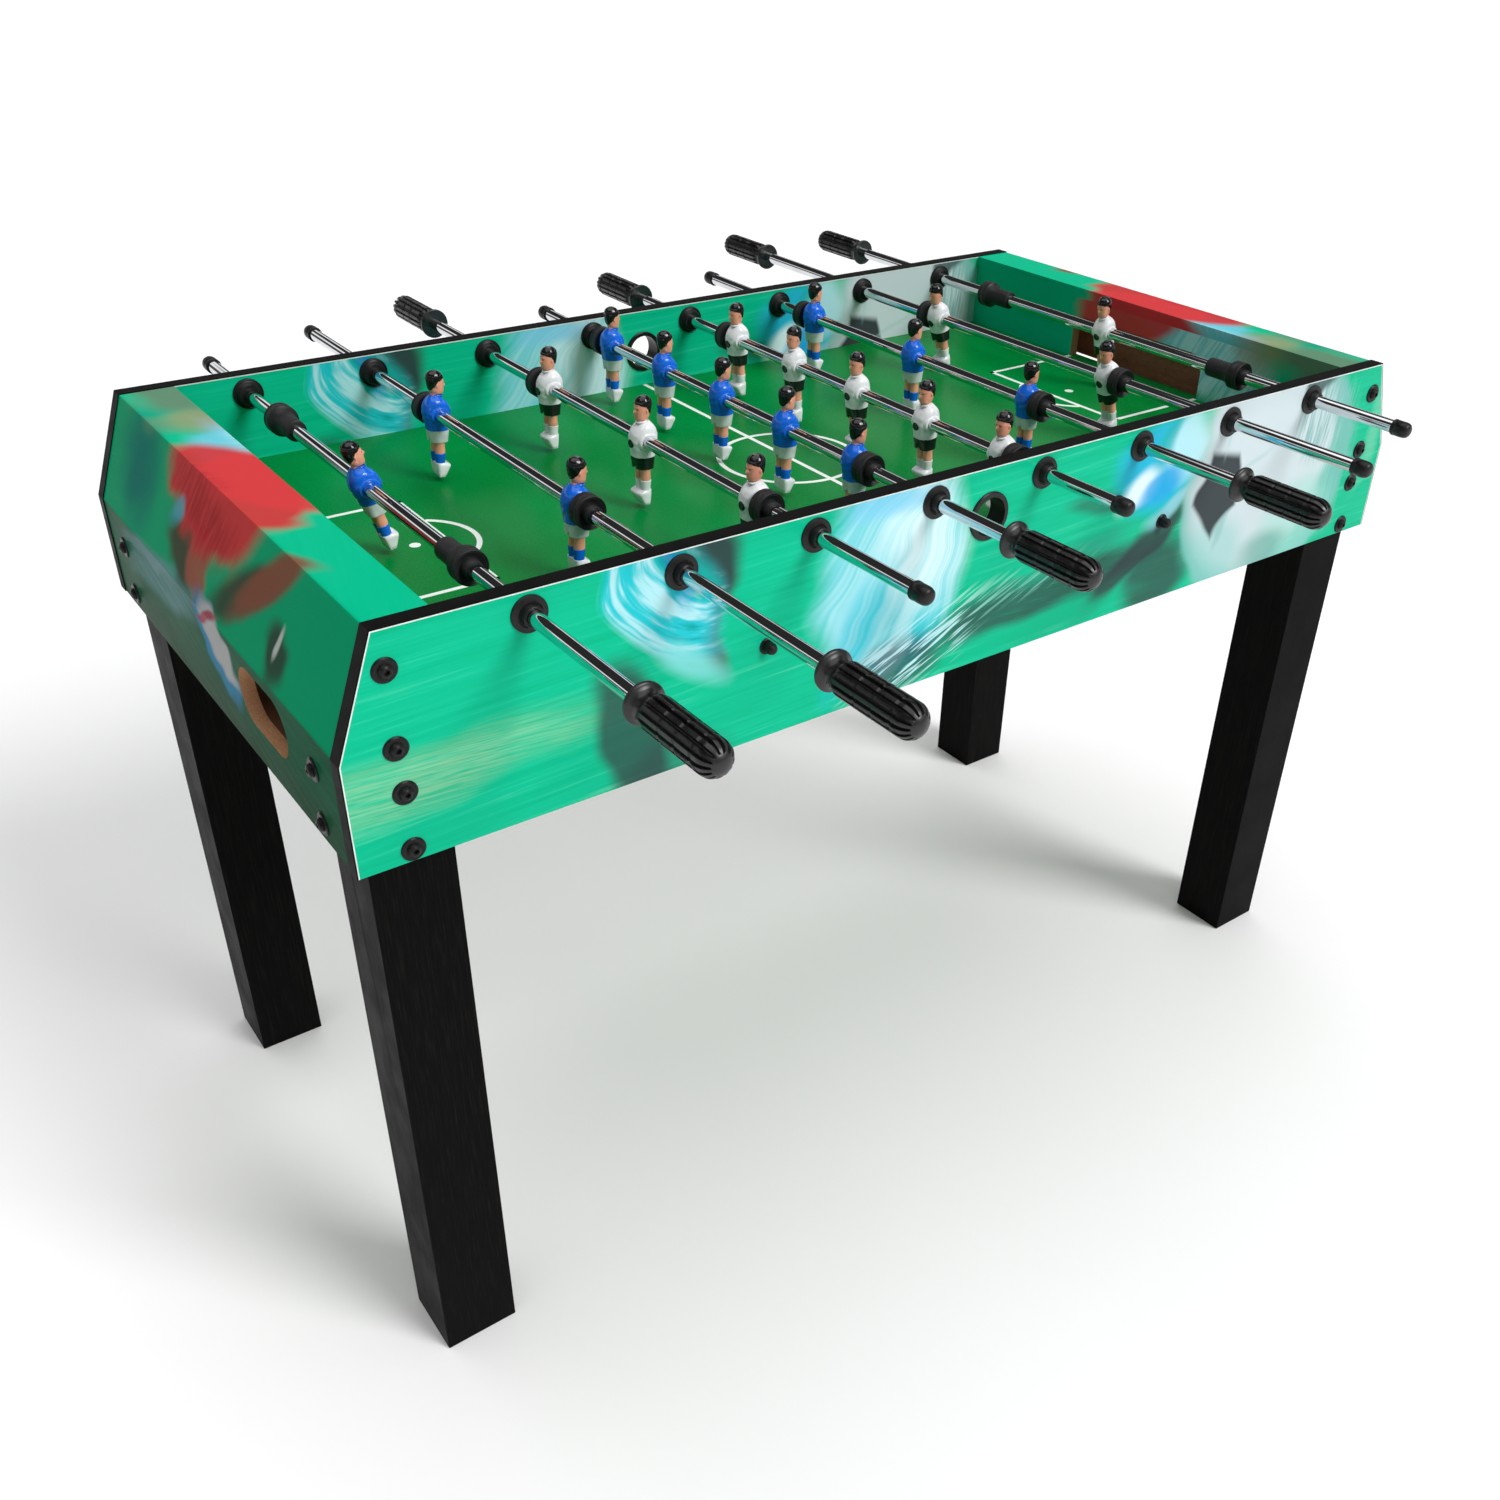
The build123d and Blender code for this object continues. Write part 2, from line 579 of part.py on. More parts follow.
def main():
    """Write one STEP file per node and print each rod's slide range."""
    os.makedirs("parts", exist_ok=True)
    for name, shape in all_parts().items():
        export_step(shape, "parts/" + name + ".step")
    for index, rod in enumerate(RODS):
        stroke = slide_stroke(index)
        low, high = -stroke - rod["slide"], stroke - rod["slide"]
        print("rod %d slides from %.1f to %.1f mm" % (index + 1, low, high))


main()
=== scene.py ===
"""Foosball table: finishes, figures, rod fittings and studio, built on the frame from model.glb."""
from math import atan2, cos, hypot, pi, radians, sin

import bpy
from bpy.props import FloatProperty, FloatVectorProperty, IntProperty, PointerProperty
from bpy.types import Operator, Panel, PropertyGroup
from mathutils import Matrix, Vector


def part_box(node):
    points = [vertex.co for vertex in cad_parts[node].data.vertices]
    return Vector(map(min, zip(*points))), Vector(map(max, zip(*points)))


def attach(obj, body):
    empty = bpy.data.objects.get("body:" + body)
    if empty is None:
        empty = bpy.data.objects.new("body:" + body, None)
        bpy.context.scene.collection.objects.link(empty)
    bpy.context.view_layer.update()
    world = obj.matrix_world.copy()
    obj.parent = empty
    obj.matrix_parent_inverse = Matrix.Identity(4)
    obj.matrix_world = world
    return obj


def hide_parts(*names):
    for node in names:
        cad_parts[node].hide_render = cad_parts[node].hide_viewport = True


bl_info = {
    "name": "Foosball Table",
    "version": (1, 0, 0),
    "blender": (4, 5, 0),
    "location": "View3D > Sidebar > Foosball",
    "description": "Finishes, figures, rod fittings and studio for an eight-rod foosball table",
    "category": "Object",
}

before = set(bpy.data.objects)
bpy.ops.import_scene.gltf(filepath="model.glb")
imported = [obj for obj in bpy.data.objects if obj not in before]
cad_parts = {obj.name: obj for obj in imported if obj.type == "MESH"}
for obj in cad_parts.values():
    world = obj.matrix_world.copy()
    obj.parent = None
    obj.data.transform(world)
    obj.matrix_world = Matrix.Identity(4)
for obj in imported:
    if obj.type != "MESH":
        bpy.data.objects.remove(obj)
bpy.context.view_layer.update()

MM = 0.001
FIELD_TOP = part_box("playfield")[1][2]
WALL_IN_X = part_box("goal_wall_right")[0][0]
PANEL_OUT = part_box("side_panel_front")[0][1]
PANEL_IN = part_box("side_panel_front")[1][1]
ROD_Z = 0.5 * (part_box("rod_1_tube")[0][2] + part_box("rod_1_tube")[1][2])
ROD_NUMBERS = range(1, 9)
BLUE_RODS = (1, 2, 4, 6)

# Section of the cabinet in millimetres: rim, shelf and outer edge of the panels.
RIM_Z, RIM_END = 768.0, 574.0
SHELF_IN = 523.0
SHELF = RIM_END - SHELF_IN
LIP_FOOT_Z = 740.0
PANEL_END, PANEL_END_Z, PANEL_FOOT_Z = 610.0, 671.0, 574.0
PANEL_MIDDLE = 295.0

# Radius inside everything that slips over a rod, and length of a bumper.
ROD_HOLE = 6.42
BUMPER = 19.0
# How far a marking stands out of the field, and reaches into it.
LINE_RISE, ARC_RISE, LINE_SINK = 0.12, 0.14, 0.1
MARKED_DOT = 2.6

# Men on each rod, their spacing, slide from mid-table and lean of the feet towards +X.
MEN_ON_ROD = {
    1: (1, 0.0, -4.0, 13.5),
    2: (2, 276.0, -2.0, -4.0),
    3: (3, 182.0, -33.5, -2.0),
    4: (5, 109.0, 27.0, -2.5),
    5: (5, 109.0, -29.3, 2.5),
    6: (3, 182.0, 34.0, 0.0),
    7: (2, 276.0, 2.0, 13.5),
    8: (1, 0.0, -8.0, 11.0),
}


def colour(name, default, description):
    """Colour property in scene-linear values."""
    return FloatVectorProperty(
        name=name, description=description, subtype="COLOR", size=3, default=default,
        min=0.0, max=1.0)


def length(name, default, description):
    """Length property in metres."""
    return FloatProperty(
        name=name, description=description, default=default, min=0.0, unit="LENGTH")


class FoosballPrint(PropertyGroup):
    """Colours of the printed laminate."""
    grass: colour("Grass", (0.001, 0.45, 0.235), "Main green of the print")
    grass_pale: colour("Pale grass", (0.22, 0.60, 0.36), "Blurred pale streaks in the green")
    aqua: colour("Aqua", (0.02, 0.55, 0.62), "Blue-green streaks")
    ice: colour("Ice", (0.50, 0.80, 0.85), "Near-white streaks")
    slate: colour("Slate", (0.030, 0.042, 0.050), "Dark patches")
    red: colour("Red", (0.52, 0.035, 0.04), "Red patch on the end boards")
    laminate_edge: colour("Laminate edge", (0.80, 0.86, 0.82), "Pale line beside the edge band")


class FoosballField(PropertyGroup):
    """Playfield colours and markings."""
    green: colour("Field green", (0.0, 0.185, 0.028), "Playfield laminate")
    line: colour("Line", (0.86, 0.90, 0.87), "Markings")
    line_width: length("Line width", 0.005, "Width of the markings")
    circle_radius: length("Centre circle", 0.073, "Radius of the centre circle")
    box_half: length("Penalty box", 0.103, "Half width of the penalty box")
    box_front: length("Box front", 0.387, "Distance of the box's front line from the halfway line")
    spot_x: length("Penalty spot", 0.416, "Distance of the spot from the halfway line")
    arc_radius: length("Arc", 0.057, "Radius of the arc outside the box")


class FoosballMen(PropertyGroup):
    """Colours of the figures."""
    blue: colour("Blue", (0.006, 0.15, 0.78), "Blue shirts and socks")
    white: colour("White", (0.90, 0.91, 0.93), "White shirts, socks and boots")
    shorts_grey: colour("Grey shorts", (0.66, 0.72, 0.70), "Shorts of the blue men")
    skin: colour("Skin", (1.0, 0.42, 0.28), "Moulded faces and legs")
    hair: colour("Hair", (0.006, 0.006, 0.007), "Moulded hair")


class FoosballFittings(PropertyGroup):
    """Sizes of the rod fittings."""
    handle_length: length("Handle length", 0.095, "From flange to tip")
    flutes: IntProperty(
        name="Flutes", description="Grooves round the handle", default=14, min=6, max=24)
    flute_depth: length("Flute depth", 0.0031, "Depth of the grooves")
    plastic: colour("Plastic", (0.005, 0.005, 0.005), "Handles, bearings and caps")


class FoosballStage(PropertyGroup):
    """Studio."""
    floor: colour("Floor", (0.94, 0.94, 0.94), "Floor colour")
    key_power: FloatProperty(
        name="Key light", description="Strength of the key light", default=2.25, min=0.0)
    focal: FloatProperty(name="Focal length", description="Camera lens", default=34.79, min=10.0)


GROUPS = (
    ("foosball_print", FoosballPrint),
    ("foosball_field", FoosballField),
    ("foosball_men", FoosballMen),
    ("foosball_fittings", FoosballFittings),
    ("foosball_stage", FoosballStage),
)


# ---- finishes ------------------------------------------------------------------------------
class Finish:
    """A procedural material under construction, with short ways to add and join nodes."""

    def __init__(self, name, base=(0.5, 0.5, 0.5), roughness=0.5, **sockets):
        self.mat = bpy.data.materials.new(name)
        self.mat.use_nodes = True
        self.tree = self.mat.node_tree
        self.shader = self.tree.nodes["Principled BSDF"]
        self.fill(self.shader, base_color=(*base, 1.0), roughness=roughness, **sockets)
        self.coord = self.add("ShaderNodeTexCoord")
        self.printed = tuple(base)

    def put(self, socket, value):
        """Joins value to socket if it is an output, otherwise sets it."""
        if isinstance(value, bpy.types.NodeSocket):
            self.tree.links.new(value, socket)
        else:
            socket.default_value = value

    def add(self, kind, *inputs, **settings):
        """New node with its first inputs joined or set in order."""
        node = self.tree.nodes.new(kind)
        for key, value in settings.items():
            setattr(node, key, value)
        for socket, value in zip(node.inputs, inputs):
            self.put(socket, value)
        return node

    def fill(self, node, **values):
        """Joins or sets inputs by name, such as base_color for Base Color."""
        for socket in node.inputs:
            key = socket.name.lower().replace(" ", "_")
            if key in values:
                self.put(socket, values[key])

    def math(self, operation, a, b=0.0):
        return self.add("ShaderNodeMath", a, b, operation=operation).outputs[0]

    def times(self, a, b):
        return self.math("MULTIPLY", a, b)

    def vector(self, operation, a, b=(0.0, 0.0, 0.0)):
        node = self.add("ShaderNodeVectorMath", a, b, operation=operation)
        return node.outputs[1 if operation in {"LENGTH", "DOT_PRODUCT"} else 0]

    def millimetres(self):
        """Object coordinates in millimetres."""
        node = self.add("ShaderNodeVectorMath", self.coord.outputs["Object"], operation="SCALE")
        self.fill(node, scale=1 / MM)
        return node.outputs[0]

    def parts(self, vector):
        return self.add("ShaderNodeSeparateXYZ", vector).outputs

    def join(self, x, y, z=0.0):
        return self.add("ShaderNodeCombineXYZ", x, y, z).outputs[0]

    def place(self, vector, centre=(0, 0, 0), size=(1, 1, 1), angle=0.0):
        """Vector measured from centre, turned by angle degrees and divided by size."""
        turn = (0.0, 0.0, radians(angle))
        node = self.add("ShaderNodeMapping", vector, centre, turn, size, vector_type="TEXTURE")
        return node.outputs[0]

    def noise(self, vector, scale, detail=3.0, roughness=0.55, distortion=0.0):
        node = self.add("ShaderNodeTexNoise", vector)
        self.fill(node, scale=scale, detail=detail, roughness=roughness, distortion=distortion)
        return node.outputs["Fac"]

    def drawn(self, vector, size, angle=0.0, detail=3.0, roughness=0.55):
        """Noise stretched to size and turned by angle degrees."""
        return self.noise(self.place(vector, size=size, angle=angle), 1.0, detail, roughness)

    def span(self, value, low, high, to_low=0.0, to_high=1.0, smooth=True):
        """Maps low..high of value to to_low..to_high, held at the ends."""
        node = self.add("ShaderNodeMapRange", value, low, high, to_low, to_high)
        node.interpolation_type = "SMOOTHSTEP" if smooth else "LINEAR"
        return node.outputs["Result"]

    def blend(self, amount, below, above):
        """Colour below covered by colour above in the given amount."""
        node = self.add("ShaderNodeMix", amount, data_type="RGBA", blend_type="MIX")
        for socket, value in ((node.inputs[6], below), (node.inputs[7], above)):
            self.put(socket, value if isinstance(value, bpy.types.NodeSocket) else (*value, 1.0))
        return node.outputs[2]

    def surface(self, base, rough, height, distance, strength):
        """Joins the colour, roughness and bump of the finish and returns the material."""
        bump = self.add("ShaderNodeBump")
        self.fill(bump, strength=strength, distance=distance, height=height)
        self.fill(self.shader, base_color=base, roughness=rough, normal=bump.outputs["Normal"])
        return self.mat

    def spot(self, point, centre, size, angle=0.0, soft=0.5):
        """Soft ellipse: 1 inside, 0 outside, fading over soft of its radius."""
        far = self.vector("LENGTH", self.place(point, (*centre, 0.0), (*size, 1.0), angle))
        return self.span(far, 1.0 - soft, 1.0 + soft, 1.0, 0.0)

    def pentagon(self, point, centre, radius, angle, soft):
        """Soft-edged pentagon."""
        local = self.place(point, (*centre, 0.0), (*radius, 1.0), angle)
        reach = None
        for k in range(5):
            turn = 2 * pi * k / 5
            side = self.vector("DOT_PRODUCT", local, (cos(turn), sin(turn), 0.0))
            reach = side if reach is None else self.math("MAXIMUM", reach, side)
        return self.span(reach, 0.8 - soft, 0.8 + soft, 1.0, 0.0)

    def wander(self, flat, size, angle, sway, lift):
        """Flat coordinates pushed about by slow noise, so that no patch has a clean outline."""
        drift = self.drawn(flat, size, angle, 1.0)
        push = [self.span(drift, 0.2, 0.8, -reach, reach) for reach in (sway, lift)]
        return self.vector("ADD", flat, self.join(*push))

    def cover(self, mask, above, amount=1.0, streaks=1.0):
        """Lays a colour over the colours laid so far."""
        for factor in (streaks, amount):
            if factor != 1.0:
                mask = self.times(mask, factor)
        self.printed = self.blend(mask, self.printed, above)

    def patches(self, point, *rows):
        """Covers by soft ellipses: x, y, half sizes, turn, softness, colour, amount and streaks."""
        for x, y, a, b, angle, soft, *layer in rows:
            self.cover(self.spot(point, (x, y), (a, b), angle, soft), *layer)


def laminate_surface(finish, point, base):
    """Glossy printed laminate: fine print grain, slight waviness and faint scuffs."""
    grain = finish.noise(point, 1.6, 2.0)
    wave = finish.noise(point, 0.012, 2.0)
    scuff = finish.noise(finish.place(point, size=(40.0, 1.6, 1.0), angle=12.0), 0.8, 4.0, 0.7)
    rough = finish.math(
        "ADD", finish.span(wave, 0.3, 0.7, 0.16, 0.27), finish.span(scuff, 0.58, 0.75, 0.0, 0.12))
    relief = finish.math("ADD", finish.times(grain, 0.10), wave)
    return finish.surface(base, rough, relief, 0.00035, 0.5)


def raw_board(finish, point):
    """Raw fibreboard colour, with its fibres."""
    fibre = finish.drawn(point, (0.9, 7.0, 0.9), 0.0, 4.0, 0.7)
    return finish.blend(finish.span(fibre, 0.3, 0.7), (0.46, 0.23, 0.11), (0.62, 0.35, 0.20))


def side_print(settings):
    """Print on both faces of the side panels: blurred grass, streaks and a generic ball."""
    grass, slate, aqua, ice = settings.grass, settings.slate, settings.aqua, settings.ice
    f = Finish("side_panel_print", grass, 0.2, specular_ior_level=0.06)
    x, y, z = f.parts(f.millimetres())
    flat = f.join(x, z)
    point = f.wander(flat, (90.0, 60.0, 1.0), 0.0, 9, -5)
    streak = f.drawn(flat, (210.0, 7.0, 1.0), 2.0, 4.0, 0.6)
    fine = f.drawn(flat, (60.0, 2.2, 1.0), -3.0, 3.0, 0.7)
    f.cover(f.span(streak, 0.25, 0.8), (0.006, 0.54, 0.31))
    low = f.span(z, 700.0, 600.0, 0.25, 1.0)
    f.cover(f.span(streak, 0.56, 0.78, 0.0, 0.55), settings.grass_pale, 1.0, low)
    f.cover(f.spot(point, (-560, 640), (140, 22), 4, 0.6), (0.36, 0.62, 0.36), 1.0,
            f.span(fine, 0.25, 0.7, 0.0, 0.6))
    # dark patches beside the left swirl
    f.patches(
        point,
        (-376, 622, 34, 66, 14, 0.22, slate, 0.80),
        (-340, 578, 50, 24, 0, 0.5, slate, 0.50),
        (-304, 742, 30, 54, -4, 0.30, slate, 0.95),
        (-296, 688, 11, 34, 10, 0.5, (0.10, 0.055, 0.065), 0.85))
    # left swirl: blurred arcs of a ball passing out of the print
    turn = f.vector("SUBTRACT", point, (-286, 778, 0.0))
    far = f.vector("LENGTH", turn)
    heading = f.parts(f.vector("NORMALIZE", turn))
    arcs = f.noise(f.join(f.times(far, 0.085), heading[0], heading[1]), 1.0, 3.0, 0.6)
    sector = f.times(f.spot(point, (-346, 716), (52, 84), 22, 0.3), f.span(far, 118, 106))
    f.cover(sector, aqua, 0.95)
    f.cover(sector, ice, 0.85, f.span(arcs, 0.48, 0.66))
    f.cover(sector, (0.0, 0.30, 0.27), 0.75, f.span(arcs, 0.46, 0.30))
    f.cover(sector, (0.0, 0.34, 0.24), 0.75, f.span(far, 66, 54))
    f.patches(
        point,
        (-318, 668, 34, 12, -36, 0.6, (0.22, 0.66, 0.66), 0.8),
        (-328, 756, 9, 30, 6, 0.7, (0.01, 0.22, 0.46), 0.8))
    # fan of blue-white streaks left of mid-length
    direction = f.vector("NORMALIZE", f.vector("SUBTRACT", point, (10, 905, 0.0)))
    fan = f.span(f.noise(direction, 8.0, 3.0, 0.7), 0.36, 0.64)
    fine_fan = f.span(f.noise(direction, 30.0, 3.0, 0.7), 0.30, 0.70)
    sheet = f.times(f.spot(point, (-108, 690), (78, 100), -12, 0.22), f.span(x, -14, -34))
    f.cover(sheet, aqua, 0.95)
    f.cover(sheet, ice, 0.75, fan)
    f.patches(
        point,
        (-70, 712, 40, 60, 4, 0.5, (0.74, 0.93, 0.95), 0.9, f.span(fine_fan, 0, 1, 0.45, 1.0)),
        (-118, 758, 44, 14, 0, 0.6, (0.22, 0.62, 0.86), 0.7),
        (-150, 640, 24, 56, -24, 0.5, (0.02, 0.56, 0.68), 0.75, f.span(fine_fan, 0, 1, 0.5, 1.0)))
    # dark ground under the middle, with pale scratches
    scratch = f.drawn(flat, (60.0, 3.6, 1.0), 24.0, 2.0, 0.5)
    f.patches(
        point,
        (-92, 598, 40, 26, 0, 0.4, slate, 0.72),
        (80, 626, 150, 23, 4, 0.35, slate, 0.80, f.span(fine, 0.2, 0.5, 0.55, 1.0)),
        (150, 700, 38, 11, -8, 0.5, slate, 0.55),
        (212, 632, 82, 17, 30, 0.32, slate, 0.88),
        (246, 600, 48, 38, 30, 0.4, slate, 0.80),
        (110, 652, 90, 9, 8, 0.6, (0.02, 0.34, 0.22), 0.7),
        (90, 588, 110, 11, 2, 0.5, grass, 0.8),
        (-74, 610, 76, 32, 20, 0.4, ice, 0.90, f.span(scratch, 0.50, 0.60)),
        (40, 642, 90, 14, 4, 0.6, (0.26, 0.66, 0.52), 0.6, f.span(scratch, 0.48, 0.62)))
    # blue glow left of the ball
    f.patches(
        point,
        (228, 722, 58, 48, 0, 0.3, (0.02, 0.45, 0.68), 0.92),
        (204, 700, 30, 17, 24, 0.4, (0.74, 0.90, 0.93), 0.95),
        (268, 736, 26, 34, -20, 0.5, ice, 0.85),
        (236, 700, 30, 12, 28, 0.5, (0.02, 0.36, 0.72), 0.85),
        (238, 748, 12, 26, -18, 0.6, (0.02, 0.42, 0.40), 0.7),
        (256, 676, 34, 9, 26, 0.5, (0.30, 0.62, 0.72), 0.8))
    # the ball: pale disc, soft shading, dark panels and upright blur
    upright = f.drawn(flat, (4.0, 70.0, 1.0), -5.0, 2.0, 0.6)
    f.patches(
        point,
        (411, 669, 135, 135, 0, 0.04, (0.16, 0.50, 0.44), 0.97),
        (398, 688, 116, 116, 0, 0.14, (0.60, 0.69, 0.72), 0.97),
        (470, 610, 60, 44, 30, 0.5, (0.30, 0.66, 0.56), 0.60),
        (340, 606, 48, 34, -34, 0.5, (0.26, 0.58, 0.54), 0.60),
        (424, 588, 36, 20, 0, 0.5, (0.12, 0.36, 0.30), 0.70),
        (486, 724, 44, 42, 0, 0.4, (0.22, 0.46, 0.44), 0.85, f.span(upright, 0.40, 0.62)),
        (530, 668, 20, 70, 0, 0.5, (0.16, 0.48, 0.40), 0.75, f.span(upright, 0.35, 0.60)))
    f.cover(f.pentagon(point, (327, 674), (36, 54), 14, 0.10), (0.030, 0.040, 0.045), 0.97)
    f.cover(f.pentagon(point, (470, 764), (26, 22), 40, 0.20), (0.05, 0.11, 0.11), 0.88)
    f.patches(
        point,
        (346, 628, 5, 20, -30, 0.6, (0.24, 0.46, 0.44), 0.55),
        (372, 700, 30, 2.6, 20, 0.6, (0.40, 0.60, 0.60), 0.50),
        (330, 742, 3, 26, -10, 0.6, (0.40, 0.62, 0.62), 0.50),
        (590, 700, 12, 60, -14, 0.6, (0.30, 0.66, 0.50), 0.35))
    facing_side = f.math("ABSOLUTE", f.parts(f.coord.outputs["Normal"])[1])
    f.cover(f.span(facing_side, 0.4, 0.6, 1.0, 0.0, False), raw_board(f, f.join(x, y, z)))
    return laminate_surface(f, flat, f.printed)


def end_print_and_shade(settings, name, outward, inner_wall=False):
    """Print on an end board: blurred abstract shapes that run over its folds, and painted shade
    darkening the board from its shelf edge down, which stays off the goal walls.
    """
    f = Finish(name, settings.grass, 0.2, specular_ior_level=0.003)
    x, y, z = f.parts(f.millimetres())
    along = f.times(y, -outward)
    drop = f.math("SUBTRACT", RIM_Z, z)
    if inner_wall:
        down = f.math("SUBTRACT", -SHELF, drop)
    else:
        over_shelf = f.span(f.math("ABSOLUTE", x), SHELF_IN, RIM_END, -SHELF, 0.0, False)
        down = f.math("ADD", drop, over_shelf)
    flat = f.join(along, down)
    point = f.wander(flat, (60.0, 34.0, 1.0), 24.0, 9, 7)
    streak = f.drawn(flat, (120.0, 6.0, 1.0), -14.0, 4.0, 0.6)
    cross = f.drawn(flat, (5.0, 60.0, 1.0), -28.0, 2.0, 0.6)
    f.cover(f.span(streak, 0.3, 0.75), (0.004, 0.46, 0.25))
    # painted shade: darker green from the shelf edge down, darker again below the crease and towards
    # the foot, for the lesser light on the slope and lower face
    f.cover(f.span(down, -4.0, 4.0, 0.0, 0.60), (0.0, 0.22, 0.075))
    f.cover(f.span(down, 95.0, 99.0, 0.0, 0.92), (0.006, 0.055, 0.025), 1.0,
            f.span(streak, 0.2, 0.7, 0.8, 1.0))
    f.cover(f.span(down, 130.0, 194.0, 0.0, 0.6), (0.025, 0.038, 0.018), 1.0,
            f.span(streak, 0.2, 0.7, 0.5, 1.0))
    f.patches(
        point,
        (262, -46, 56, 40, 0, 0.4, (0.13, 0.20, 0.13), 0.85),
        (200, 40, 44, 46, 20, 0.7, (0.0, 0.10, 0.12), 0.7),
        (98, -62, 92, 52, -14, 0.3, (0.16, 0.55, 0.72), 0.85),
        (120, -92, 70, 44, -14, 0.4, settings.ice, 0.8, f.span(cross, 0.35, 0.6, 0.3, 1.0)),
        (180, -50, 30, 44, -16, 0.6, (0.34, 0.24, 0.12), 0.65),
        # warm blurred bands below the red patch
        (-88, 52, 80, 17, 28, 0.4, (0.035, 0.028, 0.022), 0.85),
        (-124, 34, 70, 15, 34, 0.32, (0.20, 0.075, 0.045), 0.95),
        (-162, 72, 24, 22, 0, 0.4, (0.03, 0.03, 0.028), 0.85),
        (-166, 62, 4, 15, -24, 0.5, (0.50, 0.55, 0.52), 0.85),
        (58, 70, 42, 26, -30, 0.45, (0.055, 0.022, 0.018), 0.85),
        (18, 70, 22, 34, 16, 0.35, (0.28, 0.085, 0.055), 0.92),
        # red patch over the fold
        (12, -4, 112, 60, 6, 0.14, settings.red, 0.97),
        (-10, -52, 92, 50, 24, 0.16, (0.60, 0.045, 0.05), 0.95),
        (30, 28, 80, 26, -6, 0.6, (0.26, 0.010, 0.015), 0.65, f.span(cross, 0.3, 0.62)),
        (88, 46, 16, 9, 24, 0.5, (0.06, 0.34, 0.42), 0.8),
        # blue and white flash over the crease
        (118, 118, 104, 22, 8, 0.45, (0.10, 0.24, 0.25), 0.85, f.span(streak, 0.25, 0.65, 0.3)),
        (150, 104, 70, 8, 4, 0.5, (0.14, 0.27, 0.29), 0.6),
        (-28, 122, 54, 28, -34, 0.22, (0.02, 0.20, 0.36), 0.95),
        (-36, 114, 44, 18, -34, 0.25, (0.40, 0.40, 0.39), 0.95),
        (-12, 100, 26, 4, 20, 0.5, (0.30, 0.02, 0.05), 0.85))
    normal = f.parts(f.coord.outputs["Normal"])
    printed_side = f.times(normal[0], -outward if inner_wall else outward)
    if not inner_wall:
        lip = f.times(normal[0], -outward)
        shelf = f.times(f.math("MAXIMUM", lip, normal[2]), f.math("GREATER_THAN", z, LIP_FOOT_Z))
        printed_side = f.math("MAXIMUM", printed_side, shelf)
    board = raw_board(f, f.join(x, y, z))
    # the colour laid so far carries the print with the painted shade over it
    colours = f.blend(f.span(printed_side, 0.2, 0.3, 1.0, 0.0, False), f.printed, board)
    return laminate_surface(f, flat, colours)


def field_finish(settings):
    """Satin green playfield laminate with a fine pebble, cloudy tone and roll marks."""
    f = Finish("playfield_laminate", settings.green, 0.3, specular_ior_level=0.08)
    point = f.millimetres()
    cloud = f.noise(point, 0.006, 3.0)
    tracks = f.drawn(point, (90.0, 1.4, 1.0), 31.0, 4.0, 0.7)
    pebble = f.noise(point, 1.1, 2.0)
    f.cover(f.span(cloud, 0.3, 0.7), (0.0, 0.225, 0.045))
    f.cover(f.span(tracks, 0.62, 0.75, 0.0, 0.10), (0.05, 0.34, 0.10))
    rough = f.math("ADD", f.span(pebble, 0.3, 0.7, 0.24, 0.33), f.span(tracks, 0.6, 0.75, 0.0, 0.1))
    return f.surface(f.printed, rough, pebble, 0.00008, 0.5)


def one_grain(f, grain, tones, mix, rough, depth, strength):
    """Finish whose tone, roughness and bump all follow one grain; mix and rough are spans of it."""
    base = f.blend(f.span(grain, *mix), *tones)
    return f.surface(base, f.span(grain, 0.3, 0.7, *rough), grain, depth, strength)


def line_finish(settings):
    """Screen-printed marking, worn thin in places."""
    f = Finish("white_markings", settings.line, 0.4)
    worn = f.noise(f.millimetres(), 0.35, 5.0, 0.7)
    tones = (settings.line, (0.45, 0.62, 0.48))
    return one_grain(f, worn, tones, (0.62, 0.74, 0.0, 0.35), (0.34, 0.48), 0.00004, 0.4)


def moulded_plastic(name, base, low=0.30, high=0.44, grain=2.2, shine=0.3, depth=0.00006):
    """Injection-moulded plastic: fine spark texture, flow marks and handling shine."""
    f = Finish(name, base, low, specular_ior_level=shine)
    point = f.millimetres()
    spark = f.noise(point, grain, 3.0, 0.6)
    flow = f.noise(point, 0.05, 3.0)
    lighter = tuple(min(1.0, c * 1.35 + 0.003) for c in base)
    rough = f.math("ADD", f.span(flow, 0.3, 0.7, low, high), f.span(spark, 0.3, 0.7, -0.03, 0.05))
    tone = f.blend(f.span(flow, 0.35, 0.7, 0.0, 0.8), base, lighter)
    return f.surface(tone, rough, spark, depth, 0.6)


def chrome_finish():
    """Polished chrome tube with hairline wear from sliding in the bearings."""
    f = Finish("rod_chrome", (0.66, 0.67, 0.69), 0.05, metallic=1.0)
    point = f.millimetres()
    hair = f.drawn(point, (0.7, 90.0, 0.7), 0.0, 3.0, 0.7)
    smear = f.noise(point, 0.03, 3.0)
    base = f.blend(f.span(smear, 0.35, 0.7, 0.0, 0.7), (0.70, 0.71, 0.73), (0.58, 0.59, 0.61))
    rough = f.math("ADD", f.span(smear, 0.35, 0.75, 0.03, 0.07), f.span(hair, 0.5, 0.8, 0.0, 0.04))
    return f.surface(base, rough, smear, 0.00005, 0.2)


